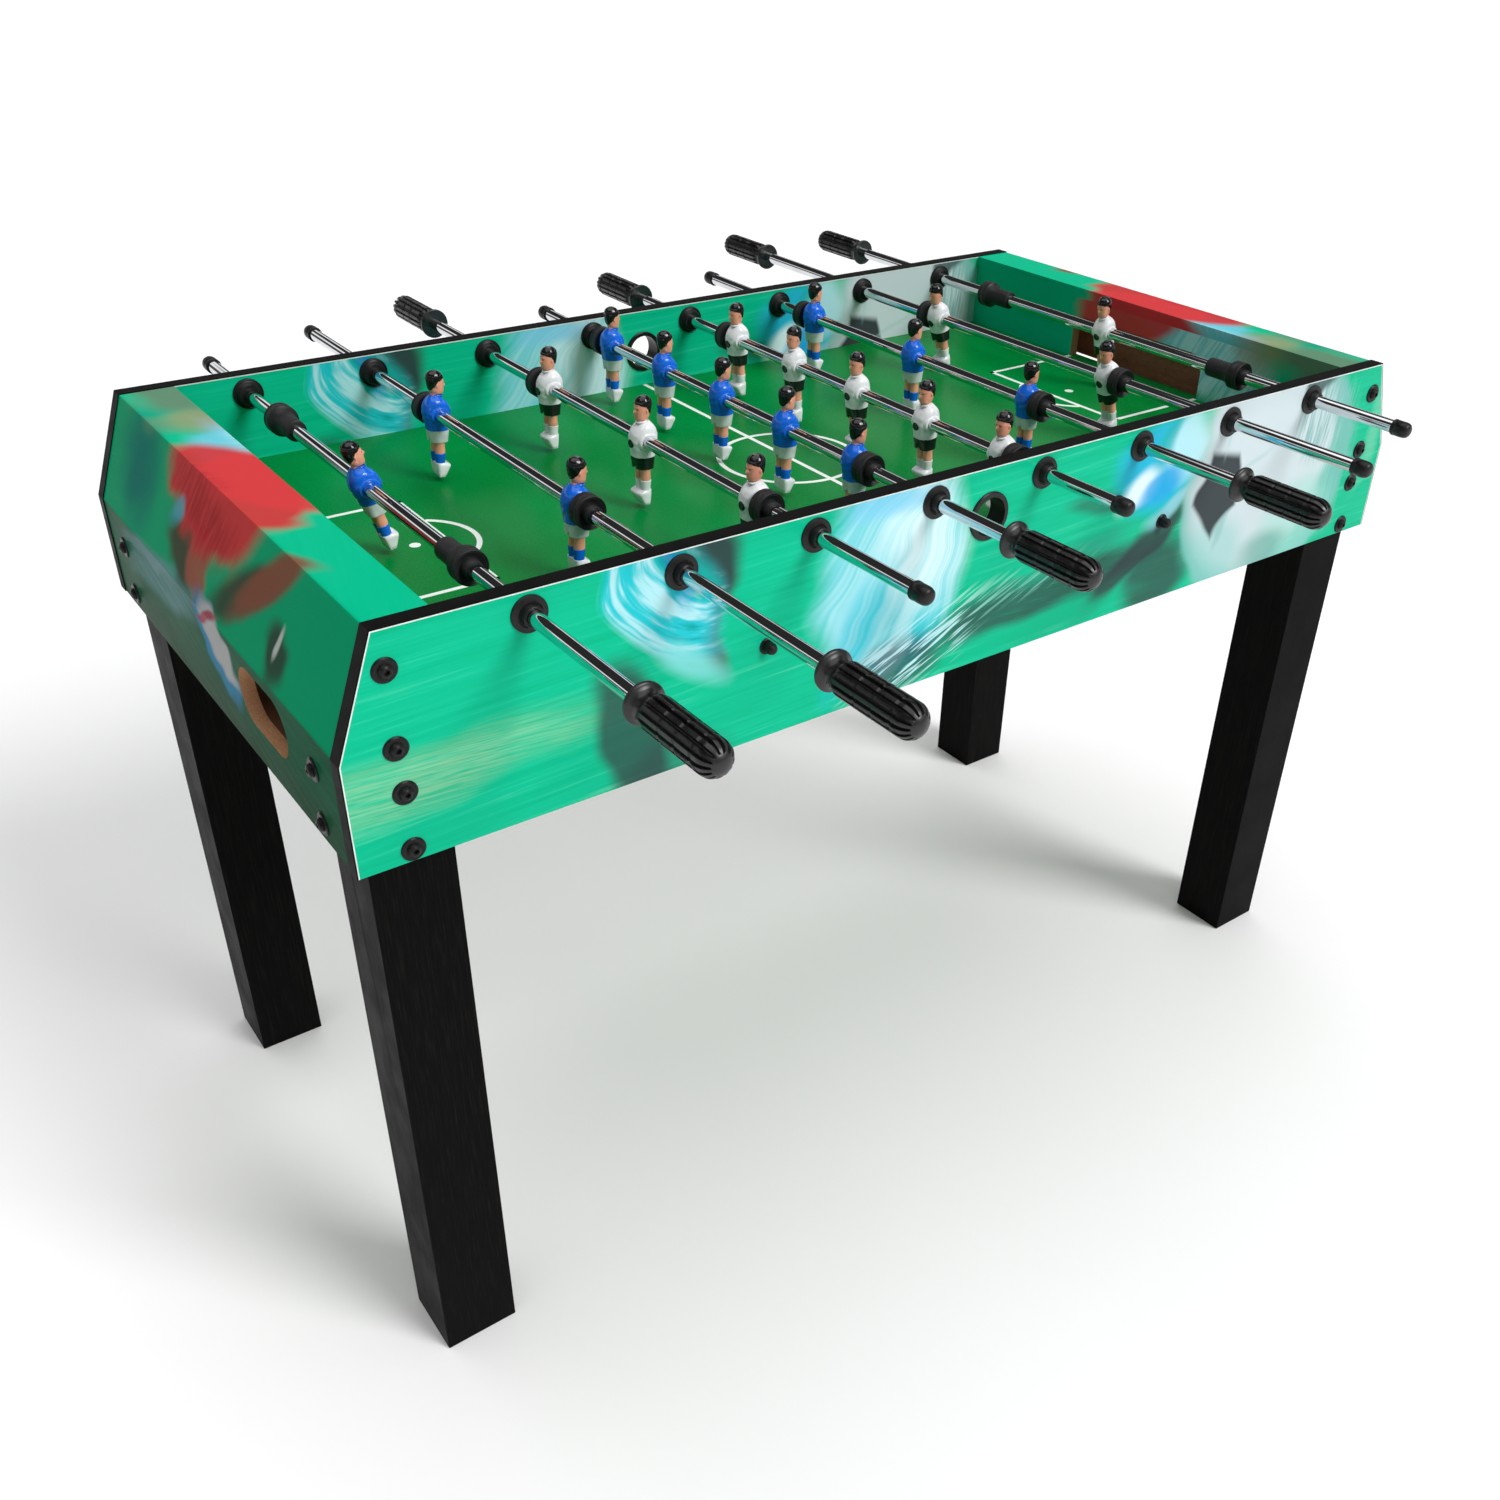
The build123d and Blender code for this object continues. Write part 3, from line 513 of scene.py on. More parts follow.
def black_board():
    """Black foil over board, as on the legs: faint wood pores and soft sheen."""
    black = (0.004, 0.004, 0.004)
    f = Finish("leg_black_foil", black, 0.42, specular_ior_level=0.02)
    point = f.millimetres()
    pores = f.drawn(point, (1.6, 1.6, 45.0), 0.0, 4.0, 0.65)
    cloud = f.noise(point, 0.02, 3.0)
    rough = f.math("ADD", f.span(cloud, 0.3, 0.7, 0.36, 0.47), f.span(pores, 0.4, 0.7, -0.03, 0.06))
    base = f.blend(f.span(pores, 0.45, 0.75), black, (0.011, 0.010, 0.009))
    return f.surface(base, rough, pores, 0.00012, 0.6)


def plain_wood(name, light, dark, size):
    """Unfinished wood or hardboard, with its grain along Y."""
    f = Finish(name, light, 0.7)
    grain = f.noise(f.place(f.millimetres(), size=size), 1.0, 5.0, 0.7, 0.4)
    return one_grain(f, grain, (dark, light), (0.3, 0.7), (0.62, 0.82), 0.00025, 0.6)


def black_steel():
    """Blackened steel screw heads and washers with a blotchy oxide."""
    f = Finish("blackened_steel", (0.008, 0.008, 0.009), 0.35, specular_ior_level=0.2)
    oxide = f.noise(f.millimetres(), 0.9, 4.0, 0.7)
    tones = ((0.006, 0.006, 0.007), (0.022, 0.021, 0.020))
    return one_grain(f, oxide, tones, (0.45, 0.75), (0.26, 0.46), 0.00006, 0.5)


def zinc_steel():
    """Zinc-plated steel with a faint bloom."""
    f = Finish("zinc_plate", (0.55, 0.56, 0.55), 0.35, metallic=1.0)
    bloom = f.noise(f.millimetres(), 0.6, 4.0, 0.7)
    tones = ((0.50, 0.51, 0.50), (0.66, 0.64, 0.56))
    return one_grain(f, bloom, tones, (0.3, 0.7), (0.26, 0.48), 0.00003, 0.4)


def paint_finish(name, base, low=0.16, high=0.28):
    """Glossy dipped paint on a moulded figure: pooling tone and orange peel."""
    f = Finish(name, base, low, coat_weight=0.25, coat_roughness=0.06, specular_ior_level=0.4)
    point = f.millimetres()
    pool = f.noise(point, 0.11, 2.0)
    peel = f.noise(point, 0.75, 2.0)
    deep = tuple(c * 0.80 for c in base)
    base = f.blend(f.span(pool, 0.3, 0.7, 0.0, 0.8), base, deep)
    return f.surface(base, f.span(peel, 0.3, 0.7, low, high), peel, 0.00009, 0.35)


def dress(name, material, bevel=0.0):
    """Gives a frame node its finish, and rounds its sharp edges if bevel is given."""
    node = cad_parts[name]
    node.data.materials.clear()
    node.data.materials.append(material)
    if bevel:
        node.modifiers.new("Close seams", "WELD").merge_threshold = 0.00001
        rounded = node.modifiers.new("Broken edges", "BEVEL")
        rounded.width = bevel
        rounded.segments = 2
        rounded.limit_method = "ANGLE"
        rounded.angle_limit = radians(40)


# ---- meshes --------------------------------------------------------------------------------
class Build:
    """Vertices, faces and material numbers of one mesh, in millimetres."""

    def __init__(self):
        self.points = []
        self.faces = []
        self.slots = []

    def rings(self, rings, slot=0, start="cap", end="cap"):
        """Skins closed rings of equal count, one after another."""
        first = len(self.points)
        count = len(rings[0])
        for ring in rings:
            self.points.extend(ring)
        for i in range(len(rings) - 1):
            a, b = first + i * count, first + (i + 1) * count
            for k in range(count):
                n = (k + 1) % count
                self.face((a + k, a + n, b + n, b + k), slot)
        if start == "cap":
            self.face(tuple(first + k for k in reversed(range(count))), slot)
        if end == "cap":
            last = first + (len(rings) - 1) * count
            self.face(tuple(last + k for k in range(count)), slot)

    def face(self, indices, slot=0):
        self.faces.append(indices)
        self.slots.append(slot)

    def turned(self, profile, count=48, slot=0, closed=True, matrix=None):
        """Solid of revolution about Z of (radius, height) points; a closed profile has a bore."""
        first = len(self.points)
        rows = []
        for radius, height in profile:
            if radius < 1e-6:
                rows.append([len(self.points)])
                self.points.append((0.0, 0.0, height))
                continue
            rows.append(list(range(len(self.points), len(self.points) + count)))
            for k in range(count):
                turn = 2 * pi * k / count
                self.points.append((radius * cos(turn), radius * sin(turn), height))
        pairs = list(zip(rows, rows[1:]))
        if closed:
            pairs.append((rows[-1], rows[0]))
        for a, b in pairs:
            for k in range(count):
                n = (k + 1) % count
                if len(a) == 1 and len(b) == 1:
                    continue
                if len(a) == 1:
                    self.face((a[0], b[n], b[k]), slot)
                elif len(b) == 1:
                    self.face((a[k], a[n], b[0]), slot)
                else:
                    self.face((a[k], a[n], b[n], b[k]), slot)
        if matrix is not None:
            self.move(first, matrix)

    def move(self, first, matrix):
        """Moves every point from number first on."""
        for i in range(first, len(self.points)):
            self.points[i] = tuple(matrix @ Vector(self.points[i]))

    def mesh(self, name, materials, smooth=True, angle=35.0):
        data = bpy.data.meshes.new(name)
        data.from_pydata([tuple(c * MM for c in p) for p in self.points], [], self.faces)
        for material in materials:
            data.materials.append(material)
        data.polygons.foreach_set("material_index", self.slots)
        if smooth:
            data.polygons.foreach_set("use_smooth", [True] * len(data.polygons))
            data.set_sharp_from_angle(angle=radians(angle))
        data.validate()
        data.update()
        return data


def piece(name, data, body, replaces=(), matrix=None):
    """Links a mesh as a piece that rides on a body, and hides the frame nodes it replaces."""
    item = bpy.data.objects.new(name, data)
    bpy.context.scene.collection.objects.link(item)
    if matrix is not None:
        item.matrix_world = matrix
    bpy.context.view_layer.update()
    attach(item, body)
    if replaces:
        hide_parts(*replaces)
    return item


def rod_axis(number):
    """X of a rod, in metres."""
    low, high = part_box("rod_%d_tube" % number)
    return 0.5 * (low[0] + high[0])


def turned_by(degrees, axis):
    """Matrix of a turn about an axis."""
    return Matrix.Rotation(radians(degrees), 4, axis)


def facing(direction, origin):
    """Matrix that sends +Z along direction, +1 or -1 of Y, and the origin to its place."""
    return Matrix.Translation(origin) @ turned_by(-90 if direction > 0 else 90, "X")


def at_rod_end(number, node):
    """Side of the table that a rod's fitting is on, and the matrix of its inner end, in metres."""
    low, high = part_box(node)
    side = 1 if low[1] > 0 else -1
    return side, facing(side, (rod_axis(number), low[1] if side > 0 else high[1], ROD_Z))


def curve_through(points, steps):
    """Smooth path through points or rows of section values."""
    path = []
    count = len(points)
    for i in range(count - 1):
        p0, p1 = points[max(i - 1, 0)], points[i]
        p2, p3 = points[i + 1], points[min(i + 2, count - 1)]
        for s in range(steps):
            t = s / steps
            path.append(tuple(
                0.5 * (2 * b + (c - a) * t + (2 * a - 5 * b + 4 * c - d) * t * t
                       + (3 * b - a - 3 * c + d) * t ** 3)
                for a, b, c, d in zip(p0, p1, p2, p3)))
    path.append(points[-1])
    return path


# ---- figures -------------------------------------------------------------------------------
SHIRT, SHORTS, SKIN, SOCK, BOOT, HAIR, SCREW, EYE = range(8)
EYE_LEVEL = 29.2
HAIR_TOP = 41.2


def oval(z, cx, cy, a, b, count=28, power=2.0):
    """Level ring of a rounded section."""
    ring = []
    for k in range(count):
        turn = 2 * pi * k / count
        c, s = cos(turn), sin(turn)
        x = abs(c) ** (2 / power) * (1 if c >= 0 else -1)
        y = abs(s) ** (2 / power) * (1 if s >= 0 else -1)
        ring.append((cx + a * x, cy + b * y, z))
    return ring


def add_boots(build):
    """Pair of boots moulded as one wedge, narrow at the sole."""
    rows = [
        (-61.5, 0.4, 3.4, 8.9), (-61.3, 0.4, 3.9, 9.3), (-58.0, 1.0, 5.2, 9.6),
        (-54.0, 1.9, 6.7, 9.9), (-51.4, 2.5, 7.5, 10.1), (-50.2, 2.5, 7.5, 10.1),
        (-49.2, 2.1, 7.1, 9.9), (-48.4, 0.9, 6.1, 9.5), (-47.4, 0.1, 5.4, 9.0),
    ]
    build.rings([oval(z, cx, 0, a, b, 40, 4.2) for z, cx, a, b in rows], BOOT)


def add_legs(build):
    """Socks with a turned cuff, and bare legs up to the shorts."""
    for side in (-1, 1):
        y = side * 4.75
        sock = [
            (-49.5, 4.9, 4.3), (-46.5, 4.75, 4.15), (-43.0, 4.95, 4.3), (-40.0, 5.3, 4.45),
            (-38.9, 5.5, 4.55), (-38.3, 5.45, 4.5), (-38.0, 5.0, 4.2),
        ]
        build.rings([oval(z, 0.0, y, a, b) for z, a, b in curve_through(sock, 3)], SOCK)
        leg = [
            (-38.6, 4.8, 4.1), (-35.5, 5.15, 4.35), (-32.0, 4.85, 4.3), (-29.0, 5.0, 4.4),
            (-24.0, 5.7, 4.6)]
        build.rings([oval(z, 0.15, y, a, b) for z, a, b in curve_through(leg, 3)], SKIN)


def add_shorts(build):
    """Shorts with a centre crease between the legs and a flared hem."""
    rows = [
        (-26.6, 0.3, 8.1, 9.6), (-26.4, 0.3, 8.8, 10.2), (-24.5, 0.3, 9.0, 10.3),
        (-20.0, 0.4, 9.6, 10.4), (-15.5, 0.4, 10.3, 10.5), (-13.0, 0.4, 10.2, 10.2),
    ]
    rings = []
    for z, cx, a, b in curve_through(rows, 4):
        ring = []
        for x, y, level in oval(z, cx, 0, a, b, 44, 3.0):
            crease = max(0.0, 1 - abs(y) / 2.6) * max(0.0, (-z - 15.0) / 11.0)
            hem = 2.6 * crease * max(0.0, (-z - 20.0) / 6.6)
            ring.append((x * (1 - 0.13 * crease), y, level + hem))
        rings.append(ring)
    build.rings(rings, SHORTS)


def add_shirt(build):
    """Shirt with rounded chest, sloping shoulders, sleeves about the rod and a rolled hem."""
    rows = [
        (-15.2, 0.3, 10.2, 10.0), (-14.9, 0.3, 11.1, 10.7), (-13.6, 0.3, 11.2, 10.7),
        (-9.5, 0.2, 11.7, 10.6), (-4.0, 0.1, 13.0, 10.7), (1.0, 0.0, 13.7, 10.8),
        (6.0, -0.2, 13.2, 10.9), (10.5, -0.7, 11.3, 10.7), (13.8, -1.2, 8.6, 9.6),
        (16.0, -1.3, 6.6, 7.6), (17.4, -1.1, 5.5, 5.7), (18.2, -0.9, 4.9, 4.9),
    ]
    rings = []
    for z, cx, a, b in curve_through(rows, 4):
        ring = []
        for x, y, level in oval(z, cx, 0, a, b, 48, 2.5):
            neck = max(0.0, 1 - hypot(y / 3.4, (z - 16.5) / 4.5)) if x > 0 else 0.0
            fold = 0.28 * sin(z * 0.95 + y * 0.35) * max(0.0, 1 - abs(z + 3) / 13.0)
            ring.append((x - 1.3 * neck + (fold if x > 0 else -fold), y, level))
        rings.append(ring)
    build.rings(rings, SHIRT)
    collar = curve_through([(4.0, 17.3), (5.3, 17.2), (5.7, 18.0), (5.1, 18.8), (4.1, 18.9)], 3)
    build.turned(collar, 32, SHIRT, matrix=Matrix.Translation((-0.8, 0, 0)) @ turned_by(8, "Y"))
    sleeve = curve_through([
        (6.5, 11.3), (8.0, 11.45), (9.0, 11.2), (9.5, 10.2), (10.4, 8.0), (11.6, 5.0), (11.8, 2.0)], 4)
    squeeze = Matrix.Diagonal((1.03, 0.90, 1.0, 1.0))
    for side in (-1, 1):
        build.turned(sleeve + [(6.5, 2.0)], 40, SHIRT, matrix=turned_by(-90 * side, "X") @ squeeze)


def head_section(z):
    """Centre, half depth and half width of the head at a height."""
    rows = (
        (18.6, 1.9, 4.2, 3.6), (20.0, 1.7, 6.0, 5.0), (22.5, 1.1, 7.0, 5.9), (26.0, 0.6, 7.6, 6.5),
        (30.0, 0.2, 8.0, 6.9), (34.0, -0.2, 8.1, 6.9), (37.5, -0.6, 7.1, 6.1), (39.8, -0.8, 5.2, 4.5),
        (41.1, -0.9, 2.6, 2.2))
    for low, high in zip(rows, rows[1:]):
        if z <= high[0]:
            t = max(0.0, (z - low[0]) / (high[0] - low[0]))
            return tuple(a + (b - a) * t for a, b in zip(low[1:], high[1:]))
    return rows[-1][1:]


def add_head(build):
    """Neck, and a plain moulded face with nose, brow, eyes and ears."""
    neck = [(15.0, 4.4, 4.0), (18.0, 4.0, 3.7), (21.0, 4.2, 3.9), (23.0, 4.8, 4.3)]
    build.rings([oval(z, -1.0, 0, a, b) for z, a, b in curve_through(neck, 2)], SKIN)
    levels = [18.6 + 22.5 * k / 30 for k in range(31)]
    rings = []
    for z in levels:
        cx, a, b = head_section(z)
        ring = []
        for x, y, level in oval(z, cx, 0, a, b, 44, 2.15):
            front = max(0.0, (x - cx) / a)
            nose = max(0.0, 1 - abs(y) / 1.5) * max(0.0, 1 - abs(z - 27.2) / 3.2)
            nose = 2.4 * front ** 6 * nose
            brow = 0.45 * front ** 2 * max(0.0, 1 - abs(z - 31.2) / 1.6)
            socket = hypot((abs(y) - 2.6) / 1.6, (z - EYE_LEVEL) / 1.3)
            socket = 0.55 * front ** 3 * max(0.0, 1 - socket)
            lips = max(0.0, 1 - abs(y) / 2.4) * max(0.0, 1 - abs(z - 23.4) / 1.1)
            lips = 0.45 * front ** 5 * lips
            ring.append((x + nose + brow - socket + lips, y, level))
        rings.append(ring)
    build.rings(rings, SKIN)
    ear = [(0.0, 0.95), (0.9, 0.75), (1.5, 0.2), (1.3, -0.7), (0.0, -0.9)]
    eye = [(0.0, 0.32), (0.45, 0.22), (0.62, 0.0), (0.0, -0.4)]
    cx, a, b = head_section(EYE_LEVEL)
    for side in (-1, 1):
        place = Matrix.Translation((-0.6, side * 6.7, 28.4)) @ turned_by(-90 * side, "X")
        place = place @ Matrix.Diagonal((0.9, 1.5, 1.0, 1.0))
        build.turned(ear, 18, SKIN, False, place)
        place = Matrix.Translation((cx + a * 0.915, side * 2.55, EYE_LEVEL))
        build.turned(eye, 14, EYE, False, place @ turned_by(22 * side, "Z") @ turned_by(90, "Y"))


def add_hair(build):
    """Raised cap of hair with combed ridges, from the brow down to the nape."""
    count = 56
    rows = 14
    rings = []
    for row in range(rows + 1):
        part = row / rows
        ring = []
        for k in range(count):
            turn = 2 * pi * k / count
            forward = cos(turn)
            side = abs(sin(turn))
            if forward > 0:
                hem = 34.2 - 2.2 * side ** 4
            else:
                hem = 32.0 - 9.2 * (-forward) ** 0.8 - 0.6 * side
            z = hem + (HAIR_TOP - hem) * sin(part * pi / 2)
            cx, a, b = head_section(min(z, 41.0))
            swell = 0.85 if 0 < row else 0.10
            swell += 0.16 * sin(9 * turn + 3.0 * part) * (1 - part)
            if row == rows:
                ring.append((cx, 0.0, z))
            else:
                ring.append((cx + (a + swell) * cos(turn), (b + swell) * sin(turn), z))
        rings.append(ring)
    build.rings(rings, HAIR, start="open", end="cap")


def add_chest_screw(build, black_dot):
    """Plug over the chest screw, black on the white men."""
    plug = [
        (0.0, 13.7), (2.2, 13.72), (2.9, 13.95), (3.7, 13.9), (4.2, 13.5), (4.25, 11.8), (0.0, 11.8)]
    place = Matrix.Translation((0, 0, -2.0)) @ turned_by(90, "Y")
    build.turned(plug, 28, SCREW if black_dot else SHIRT, False, place)


def figure(black_dot):
    """One man, facing +X, with the rod axis along Y through his chest."""
    build = Build()
    for add in (add_boots, add_legs, add_shorts, add_shirt, add_head, add_hair):
        add(build)
    add_chest_screw(build, black_dot)
    return build


def team_materials(settings, blue):
    """Materials of one team, in slot order."""
    team = "blue_" if blue else "white_"
    kit = settings.blue if blue else settings.white
    shorts = settings.shorts_grey if blue else (0.010, 0.010, 0.011)
    parts = (
        ("shirt", kit), ("team_shorts", shorts), ("team_skin", settings.skin, 0.26, 0.36),
        ("team_socks", kit), ("team_boots", settings.white), ("team_hair", settings.hair, 0.12, 0.24),
        ("team_screw", (0.010, 0.010, 0.010), 0.3, 0.4), ("team_eyes", (0.016, 0.010, 0.008), 0.2, 0.3))
    return [paint_finish(team + part, tuple(base), *gloss) for part, base, *gloss in parts]


# ---- operators -----------------------------------------------------------------------------
class FOOSBALL_OT_side_panels(Operator):
    """Print both side panels and lay the pale laminate line beside their edge bands"""
    bl_idname = "foosball.side_panels"
    bl_label = "Side panels"

    def execute(self, context):
        settings = context.scene.foosball_print
        finish = side_print(settings)
        for name in ("side_panel_front", "side_panel_back"):
            dress(name, finish)
        black = (0.003, 0.003, 0.003)
        dress("edge_trims", moulded_plastic("edge_band_black", black, 0.40, 0.52, 1.4, shine=0.03))
        pale = paint_finish("laminate_cut_edge", tuple(settings.laminate_edge), 0.3, 0.42)
        for row, side in (("front", -1), ("back", 1)):
            build = Build()
            for face in (PANEL_OUT, PANEL_IN):
                self.edge_line(build, -side * face / MM)
            data = build.mesh("laminate_line_" + row, [pale], smooth=False)
            piece("laminate_line_" + row, data, "table")
        return {"FINISHED"}

    @staticmethod
    def edge_line(build, face):
        """Narrow strip along the top and ends of one face of a panel."""
        def path(inset):
            half = [
                (RIM_END - inset * 0.72, RIM_Z - inset),
                (PANEL_END - inset, PANEL_END_Z - inset * 0.18), (PANEL_END - inset, PANEL_FOOT_Z)]
            return [(-x, z) for x, z in reversed(half)] + half

        outward = 1 if abs(face) > PANEL_MIDDLE else -1
        sign = 1 if face > 0 else -1
        level = sign * (abs(face) + outward * 0.12)
        base = sign * (abs(face) - outward * 0.2)
        build.rings([
            [(xo, base, zo), (xo, level, zo), (xi, level, zi), (xi, base, zi)]
            for (xo, zo), (xi, zi) in zip(path(1.0), path(2.0))])


class FOOSBALL_OT_end_boards(Operator):
    """Print the two folded end boards, with painted shade below their shelves, and the goal walls"""
    bl_idname = "foosball.end_boards"
    bl_label = "End boards and goals"

    def execute(self, context):
        settings = context.scene.foosball_print
        for name, outward in (("left", -1.0), ("right", 1.0)):
            dress("end_hood_" + name, end_print_and_shade(settings, "end_board_print_" + name, outward))
            wall = end_print_and_shade(settings, "goal_wall_print_" + name, outward, inner_wall=True)
            dress("goal_wall_" + name, wall)
        return {"FINISHED"}


class FOOSBALL_OT_playfield(Operator):
    """Finish the playfield and draw its white markings"""
    bl_idname = "foosball.playfield"
    bl_label = "Playfield and markings"

    def execute(self, context):
        settings = context.scene.foosball_field
        dress("playfield", field_finish(settings))
        build = Build()
        half = settings.line_width / MM / 2
        edge_y = -PANEL_IN / MM - 1.0
        self.bar(build, -half, half, -edge_y, edge_y)
        self.arc(build, 0, settings.circle_radius / MM, half, 0, 360, 96)
        self.arc(build, 0, MARKED_DOT, MARKED_DOT, 0, 360, 24)
        wall, front = WALL_IN_X / MM, settings.box_front / MM
        side = settings.box_half / MM
        spot, reach = settings.spot_x / MM, settings.arc_radius / MM
        for end in (-1, 1):
            for y in (-side, side):
                x0, x1 = sorted((end * wall, end * (front - half)))
                self.bar(build, x0, x1, y - half, y + half)
            self.bar(build, end * front - half, end * front + half, -side - half, side + half)
            self.arc(build, end * spot, MARKED_DOT, MARKED_DOT, 0, 360, 32)
            inside = spot - front + half
            opening = 180 / pi * atan2((reach ** 2 - inside ** 2) ** 0.5, inside)
            middle = 180 if end > 0 else 0
            self.arc(build, end * spot, reach, half, middle - opening, middle + opening, 40)
        data = build.mesh("field_markings", [line_finish(settings)], smooth=False)
        piece("field_markings", data, "table")
        return {"FINISHED"}

    @staticmethod
    def bar(build, x0, x1, y0, y1):
        """Straight marking."""
        top, low = FIELD_TOP / MM + LINE_RISE, FIELD_TOP / MM - LINE_SINK
        corners = ((x0, y0), (x1, y0), (x1, y1), (x0, y1))
        build.rings([[(x, y, z) for x, y in corners] for z in (low, top)])

    @staticmethod
    def arc(build, cx, radius, half, start, stop, steps):
        """Curved marking, or a dot where radius and half are equal."""
        top, low = FIELD_TOP / MM + ARC_RISE, FIELD_TOP / MM - LINE_SINK
        rings = []
        for k in range(steps + 1):
            turn = radians(start + (stop - start) * k / steps)
            c, s = cos(turn), sin(turn)
            inner, outer = radius - half, radius + half
            rings.append([
                (cx + inner * c, inner * s, low), (cx + outer * c, outer * s, low),
                (cx + outer * c, outer * s, top), (cx + inner * c, inner * s, top)])
        ends = "open" if abs(stop - start - 360) < 1e-6 else "cap"
        build.rings(rings, 0, ends, ends)


class FOOSBALL_OT_legs(Operator):
    """Finish the four legs in black foil with broken edges"""
    bl_idname = "foosball.legs"
    bl_label = "Legs"

    def execute(self, context):
        finish = black_board()
        for name in ("leg_front_left", "leg_front_right", "leg_back_left", "leg_back_right"):
            dress(name, finish, bevel=0.0012)
        return {"FINISHED"}


class FOOSBALL_OT_woodwork(Operator):
    """Finish the hidden battens, ball trays and threaded inserts"""
    bl_idname = "foosball.woodwork"
    bl_label = "Battens, trays and inserts"

    def execute(self, context):
        pine = ((0.62, 0.40, 0.20), (0.42, 0.23, 0.10), (3.0, 70.0, 3.0))
        hardboard = ((0.17, 0.075, 0.03), (0.10, 0.04, 0.016), (2.0, 5.0, 2.0))
        dress("inner_battens", plain_wood("batten_pine", *pine))
        dress("ball_trays", plain_wood("tray_hardboard", *hardboard))
        dress("insert_nuts", zinc_steel())
        return {"FINISHED"}


class FOOSBALL_OT_fasteners(Operator):
    """Finish the cabinet bolts and washers"""
    bl_idname = "foosball.fasteners"
    bl_label = "Bolts and washers"

    def execute(self, context):
        finish = black_steel()
        for name in ("panel_bolts", "panel_washers"):
            dress(name, finish)
        return {"FINISHED"}


class FOOSBALL_OT_bearings(Operator):
    """Make the flanged rod bearings, their inner rings and the ball-entry rings"""
    bl_idname = "foosball.bearings"
    bl_label = "Bearings and ball-entry rings"

    def execute(self, context):
        base = tuple(context.scene.foosball_fittings.plastic)
        finish = moulded_plastic("bearing_plastic", base, 0.36, 0.48, 2.0)
        inner_end = -abs(PANEL_OUT - PANEL_IN) / MM - 7.4
        bush = [
            (ROD_HOLE, 8.6), (6.9, 9.0), (7.9, 9.0), (8.5, 8.5), (8.9, 3.4), (9.2, 2.2), (9.8, 2.0),
            (10.4, 2.7), (13.0, 1.9), (13.7, 2.0), (14.6, 1.9), (15.0, 1.4), (15.0, 0.02),
            (8.38, 0.02), (8.38, inner_end), (ROD_HOLE, inner_end)]
        ring = [
            (8.52, 0.02), (15.0, 0.02), (15.0, 2.0), (14.7, 2.6), (14.0, 2.9), (13.2, 2.5), (12.0, 3.1),
            (11.2, 4.4), (10.6, 7.4), (10.1, 7.9), (8.52, 7.9)]
        for name, profile, turn, wall, node in (
                ("rod_bearing_bushes", bush, 1, PANEL_OUT, "bearing_bushes"),
                ("rod_bearing_rings", ring, -1, PANEL_IN, "bearing_nuts")):
            build = Build()
            for number in ROD_NUMBERS:
                for side in (-1, 1):
                    place = (rod_axis(number) / MM, side * -wall / MM, ROD_Z / MM)
                    build.turned(profile, 56, matrix=facing(turn * side, place))
            piece(name, build.mesh(name, [finish]), "table", [node])
        dress("ball_entry_rings", moulded_plastic("entry_ring_plastic", base, 0.30, 0.42, 2.0))
        return {"FINISHED"}


class FOOSBALL_OT_rods(Operator):
    """Chrome the rods and make their rounded end caps"""
    bl_idname = "foosball.rods"
    bl_label = "Rods and end caps"

    def execute(self, context):
        chrome = chrome_finish()
        base = tuple(context.scene.foosball_fittings.plastic)
        plastic = moulded_plastic("end_cap_plastic", base, 0.30, 0.42, 2.0)
        cap = Build()
        cap.turned([
            (ROD_HOLE, 0.0), (7.4, 0.0), (8.0, 0.5), (8.0, 2.4), (7.6, 2.9), (7.5, 3.4), (7.8, 3.9),
            (7.9, 10.5), (7.7, 13.6), (7.0, 15.7), (5.6, 17.1), (3.4, 17.85), (0.0, 18.0), (0.0, 14.0),
            (ROD_HOLE, 14.0)])
        data = cap.mesh("rod_end_cap", [plastic])
        for number in ROD_NUMBERS:
            self.tube(number, chrome)
            node = "rod_%d_end_cap" % number
            matrix = at_rod_end(number, node)[1]
            name = "rod_%d_rounded_cap" % number
            piece(name, data, "rod_%d" % number, [node], matrix)
        return {"FINISHED"}

    @staticmethod
    def tube(number, chrome):
        """Drawn tube with a smooth wall and deburred ends."""
        node = "rod_%d_tube" % number
        low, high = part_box(node)
        span = (high[1] - low[1]) / MM
        radius = (high[2] - low[2]) / 2 / MM
        bore = radius - 1.2
        build = Build()
        build.turned([
            (bore, 0.15), (bore + 0.2, 0.0), (radius - 0.3, 0.0), (radius, 0.3), (radius, span - 0.3),
            (radius - 0.3, span), (bore + 0.2, span), (bore, span - 0.15)], 72)
        name = "rod_%d_chromed_tube" % number
        matrix = facing(1, (rod_axis(number), low[1], ROD_Z))
        piece(name, build.mesh(name, [chrome]), "rod_%d" % number, [node], matrix)


